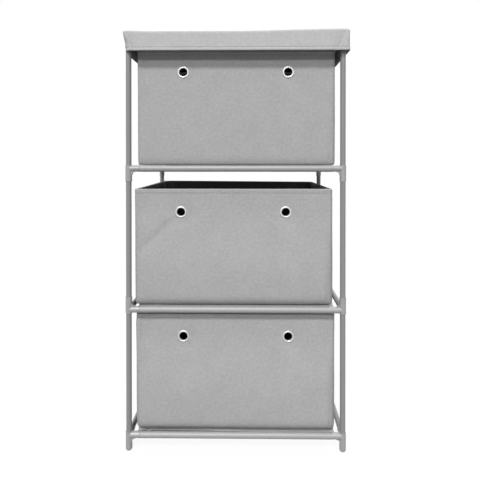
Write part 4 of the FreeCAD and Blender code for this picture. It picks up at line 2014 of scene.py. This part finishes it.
    def _hang(self, place: Vector, out: Vector, drop: float, seed: float) -> Vector:
        """Ripple a point of the skirt outwards, and lift it with the panel.

        Args:
            place: The point.
            out: The outward direction there.
            drop: Distance below the cover's top.
            seed: Gives the cloth its own unevenness.

        Returns:
            The point.
        """
        hang = self.hang
        share = smoothstep(0.0, self.drop, drop)
        loose = hang.wave.depth * share * (1.0 + hang.wave.share(place, seed))
        loose += hang.uneven.at(place, seed)
        lift = self._lift(place.x, place.y) * (1.0 - drop / self.drop)
        side = smoothstep(*hang.pull_x, place.x) * smoothstep(*hang.pull_y, place.y)
        drawn = Vector((hang.pull * side * (drop / self.drop), 0.0, 0.0))
        return place + out * max(0.0, loose) + UP * lift + drawn

    def _fold_x(self, right: bool, drop: float) -> float:
        """Where a folded triangle ends at a height.

        Args:
            right: Whether it's the right triangle.
            drop: Distance below the cover's top.

        Returns:
            The place of its free edge, along X.
        """
        share = min(1.0, max(0.0, drop / self.drop)) ** self.fold_power
        if right:
            top = self.high.x - self.corner - self.fold_top
        else:
            top = self.low.x + self.corner + self.fold_top
        return mix(top, self.fold_feet[right], share)

    def _skirt_row(self, inset: float, drop: float) -> tuple[list[Station], list[Vector]]:
        """Work out the skirt's sides and rear at one drop, anticlockwise.

        Args:
            inset: Distance behind the plan.
            drop: Distance below the cover's top.

        Returns:
            The stations on the plan, and the skirt's points there.
        """
        plan = self._outline(drop)
        stations = plan.join(plan.turns(Corner.FRONT_RIGHT), self.step)
        down = UP * (self.top - drop)
        row = [self._hang(plan.inside(s, inset) + down, s.out, drop, self.skirt_seed) for s in stations]
        return stations, row

    def _facet(self, corner: Vector, inset: float, drop: float) -> list[Vector]:
        """One row of a folded triangle, from its corner to its free edge, which is rolled under.

        Args:
            corner: Where the row leaves the rounded corner.
            inset: Distance behind the plan.
            drop: Distance below the cover's top.

        Returns:
            The row's points.
        """
        fold = self._fold_x(corner.x > 0.0, drop)
        width = abs(fold - corner.x)
        towards = 1.0 if fold > corner.x else -1.0
        steps = [width * k / 4 for k in range(1, 4)]
        places = [(min(step, max(0.0, width - self.roll_start)), 0.0) for step in steps]
        places += [(max(width - back * MM, 0.0), deep * MM) for back, deep in self.roll]
        row = []
        for along, deep in places:
            place = Vector((corner.x + towards * along, corner.y + inset + deep, self.top - drop))
            row.append(self._hang(place, FORWARD, drop, self.skirt_seed))
        return row

    def _skirt(self) -> Piece:
        """Sides and rear in one strip that ends in a folded triangle at each front corner.

        Returns:
            The piece.
        """
        wall = self._wall()
        rows, flat = [], []
        for (inset, drop), down in zip(wall, depths(wall)):
            stations, row = self._skirt_row(inset, drop)
            right = self._facet(stations[0].at, inset, drop)[::-1]
            left = self._facet(stations[-1].at, inset, drop)
            rows.append([*right, *row, *left])
            offsets = [-abs(place.x - row[0].x) for place in right]
            offsets += [station.along for station in stations]
            offsets += [stations[-1].along + abs(place.x - row[-1].x) for place in left]
            flat.append([(along, -down) for along in offsets])
        return Cloth("top_cover_skirt", rows, flat, self.skirt).build(self.finishes.cover)

    def _flap_point(self, share: float, inset: float, drop: float) -> Vector:
        """A point of the flap's face.

        Args:
            share: From 0 at the left end to 1 at the right one.
            inset: Distance behind the cover's front.
            drop: Distance below the cover's top.

        Returns:
            The point.
        """
        folds = self._fold_x(False, drop), self._fold_x(True, drop)
        left = max(self.low.x + self.corner, folds[0] - self.under)
        right = min(self.high.x - self.corner, folds[1] + self.under)
        x = mix(left, right, share)
        beside = min(x - folds[0], folds[1] - x)
        behind = mix(*self.behind, smoothstep(0.0, self.behind_turn, beside))
        place = Vector((x, self.low.y + inset + behind, self.top - drop))
        hung = self._hang(place, FORWARD, drop, self.flap_seed)
        hung.y = mix(place.y, hung.y, smoothstep(*self.calm, beside))
        return hung

    def _flap(self) -> Piece:
        """The front of the skirt, loose between the folded triangles.

        Returns:
            The piece.
        """
        wall = self._wall()
        shares = even_steps(0.0, 1.0, 1.0 / self.cells)
        rows = [[self._flap_point(share, *place) for share in shares] for place in wall]
        flat = [[(point.x, -down) for point in row] for row, down in zip(rows, depths(wall))]
        return Cloth("top_cover_front_cloth", rows, flat, self.skirt).build(self.finishes.cover)

    def _skirt_stitches(self) -> Piece:
        """The hem's stitches on the sides, the rear and the folded triangles.

        Returns:
            The piece.
        """
        stations, row = self._skirt_row(self.row_inset, self.row)
        right, left = (self._facet(stations[k].at, self.row_inset, self.row)[:4] for k in (0, -1))
        return self.sewing.row("top_cover_skirt_stitches", [[*right[::-1], *row, *left]], seed=62)

    def _flap_stitches(self) -> Piece:
        """The hem's stitches on the front flap, between the triangles."""
        line = [self._flap_point(share, self.row_inset, self.row) for share in even_steps(*self.flap_row)]
        return self.sewing.row("top_cover_front_stitches", [line], seed=63)


# ---- Studio ----

@dataclass(frozen=True)
class Lamp:
    """A distant lamp.

    Attributes:
        name: The lamp's name.
        elevation: How high it stands, in degrees.
        azimuth: How far it stands to the right of the front, in degrees.
        strength: Its strength.
        size: How wide it looks from the object, in degrees.
    """

    name: str
    elevation: float
    azimuth: float
    strength: float
    size: float = 8.0

    def build(self) -> None:
        """Hang the lamp."""
        lamp = bpy.data.lights.new(self.name, "SUN")
        lamp.energy = self.strength
        lamp.angle = math.radians(self.size)
        holder = link(self.name, lamp)
        holder.rotation_euler = (math.radians(90.0 - self.elevation), 0.0, math.radians(self.azimuth))


@dataclass(frozen=True)
class Camera:
    """A nearly level camera in front, shifted down on the object.

    Attributes:
        place: Where it stands.
        pitch: How far it looks down, in degrees.
        yaw: How far it looks to the left, in degrees.
        sensor: Width of its sensor, in millimetres.
        lens: Its focal length, in millimetres.
        shift: How far the picture is shifted across and up, as shares of its width.
    """

    place: tuple[float, float, float] = (0.03484, -1.00186, 0.58891)
    pitch: float = 0.29
    yaw: float = 0.63
    sensor: float = 36.0
    lens: float = 31.325
    shift: Pair = (-0.0169, -0.1609)

    def build(self) -> None:
        """Set up the camera."""
        lens = bpy.data.cameras.new("camera")
        lens.sensor_width = self.sensor
        lens.lens = self.lens
        lens.shift_x, lens.shift_y = self.shift
        holder = link("camera", lens)
        holder.location = self.place
        holder.rotation_euler = (math.radians(90.0 - self.pitch), 0.0, math.radians(self.yaw))
        bpy.context.scene.camera = holder


@dataclass
class Studio:
    """White surroundings, soft lamps, a pale floor and the camera.

    Attributes:
        ambient: Strength of the light from all round.
        lamps: The lamps.
        camera: The camera.
        floor_size: Half of the floor's width.
        floor_grey: Colour of the floor for its own shading.
        floor_bounce: The same for the light that it throws back.
        floor_shade: How much of its shading the floor shows.
        floor_fade: Distances from the middle between which the shading goes out.
    """

    ambient: float = 0.28
    lamps: tuple[Lamp, ...] = (
        Lamp("low lamp", 31.0, -9.0, 1.10),
        Lamp("high lamp", 52.0, -9.0, 2.35),
        Lamp("rear lamp", 45.0, 152.0, 1.2),
    )
    camera: Camera = Camera()
    floor_size: float = 12.0
    floor_grey: float = 0.95
    floor_bounce: float = 0.26
    floor_shade: float = 0.07
    floor_fade: Pair = (0.45, 1.1)

    def build(self) -> None:
        """Set up the stage."""
        self._world()
        self._floor()
        for lamp in self.lamps:
            lamp.build()
        self.camera.build()
        bpy.context.scene.view_settings.view_transform = "Standard"
        log.info("studio ready")

    def _seen(self, nodes: Wiring) -> Socket:
        """Whether a ray shows the surroundings: from the camera, a gloss or a glass.

        Args:
            nodes: The tree that asks.

        Returns:
            1 for such a ray and 0 for any other.
        """
        path = nodes.node("ShaderNodeLightPath", {}).outputs
        found = nodes.maths("MAXIMUM", path["Is Camera Ray"], path["Is Glossy Ray"])
        return nodes.maths("MAXIMUM", found, path["Is Transmission Ray"])

    def _world(self) -> None:
        """Surroundings that look white and light the object evenly."""
        world = bpy.data.worlds.new("studio")
        bpy.context.scene.world = world
        world.use_nodes = True
        nodes = Wiring(world.node_tree)
        light = nodes.tree.nodes["Background"]
        nodes.fill(light, {"Strength": self.ambient, "Color": even_grey(1.0)})
        white = nodes.node("ShaderNodeBackground", {"Color": even_grey(1.0)})
        inputs = {0: self._seen(nodes), 1: light.outputs[0], 2: white.outputs[0]}
        choice = nodes.node("ShaderNodeMixShader", inputs)
        nodes.fill(nodes.tree.nodes["World Output"], {"Surface": choice.outputs[0]})

    def _floor(self) -> None:
        """A pale floor that shows white and keeps a faint shadow near the object."""
        data = bpy.data.meshes.new("studio_floor")
        size = self.floor_size
        corners = [(-size, -size, 0.0), (size, -size, 0.0), (size, size, 0.0), (-size, size, 0.0)]
        data.from_pydata(corners, [], [(0, 1, 2, 3)])
        shader = Shader("studio floor")
        path = shader.node("ShaderNodeLightPath", {}).outputs
        inputs = {
            "Factor": path["Is Camera Ray"],
            FIRST_COLOUR: even_grey(self.floor_bounce), SECOND_COLOUR: even_grey(self.floor_grey),
        }
        pale = shader.node("ShaderNodeMix", inputs, data_type="RGBA").outputs[MIXED_COLOUR]
        shader.fill(shader.surface, {"Base Color": pale, "Roughness": 1.0, "Specular IOR Level": 0.0})
        place = shader.node("ShaderNodeTexCoord", {}).outputs["Object"]
        radius = shader.node("ShaderNodeVectorMath", {0: place}, operation="LENGTH").outputs["Value"]
        near, far = self.floor_fade
        fade = shader.node("ShaderNodeMapRange", {
            "Value": radius, "From Min": near, "From Max": far,
            "To Min": 1.0 - self.floor_shade, "To Max": 1.0,
        })
        share = shader.maths("MULTIPLY", self._seen(shader), fade.outputs[0])
        white = shader.node("ShaderNodeEmission", {})
        inputs = {0: share, 1: shader.surface.outputs[0], 2: white.outputs[0]}
        choice = shader.node("ShaderNodeMixShader", inputs)
        shader.fill(shader.tree.nodes["Material Output"], {"Surface": choice.outputs[0]})
        data.materials.append(shader.material)
        link("studio_floor", data)


def main() -> None:
    """Build the dresser in order."""
    logging.basicConfig(level=logging.INFO, format="%(name)s: %(message)s")
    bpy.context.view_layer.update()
    finishes = Finishes()
    sewing = Sewing(finishes.thread)
    Studio().build()
    TubeFrame(finishes).dress()
    for drawer in (
        Drawer("bottom_drawer", finishes, sewing, seed=3.1, slack=Slack(front=10.2 * MM),
               widening=Widening(even=(2.3 * MM, 0.2 * MM), mouth=(3.4 * MM, 1.4 * MM))),
        Drawer("middle_drawer", finishes, sewing, seed=14.1, rear_lift=2.7 * MM, crease=Crease(2.6 * MM),
               widening=Widening(even=(0.0, 1.5 * MM), mouth=(2.2 * MM, 0.7 * MM))),
        Drawer("top_drawer", finishes, sewing, seed=25.1, slack=Slack(front=4.0 * MM),
               widening=Widening(even=(0.0, 1.8 * MM), mouth=(1.2 * MM, 0.0))),
    ):
        drawer.build()
    for shelf in (
        Shelf("bottom_shelf", finishes, sewing, seed=5.7, dip=4.4 * MM, fold=ShelfFold(4.6 * MM),
              drawer="bottom_drawer"),
        Shelf("lower_shelf", finishes, sewing, seed=18.7, dip=0.0),
        Shelf("upper_shelf", finishes, sewing, seed=31.7),
    ):
        shelf.build()
    Cover(finishes, sewing).build()


if __name__ == "__main__":
    main()
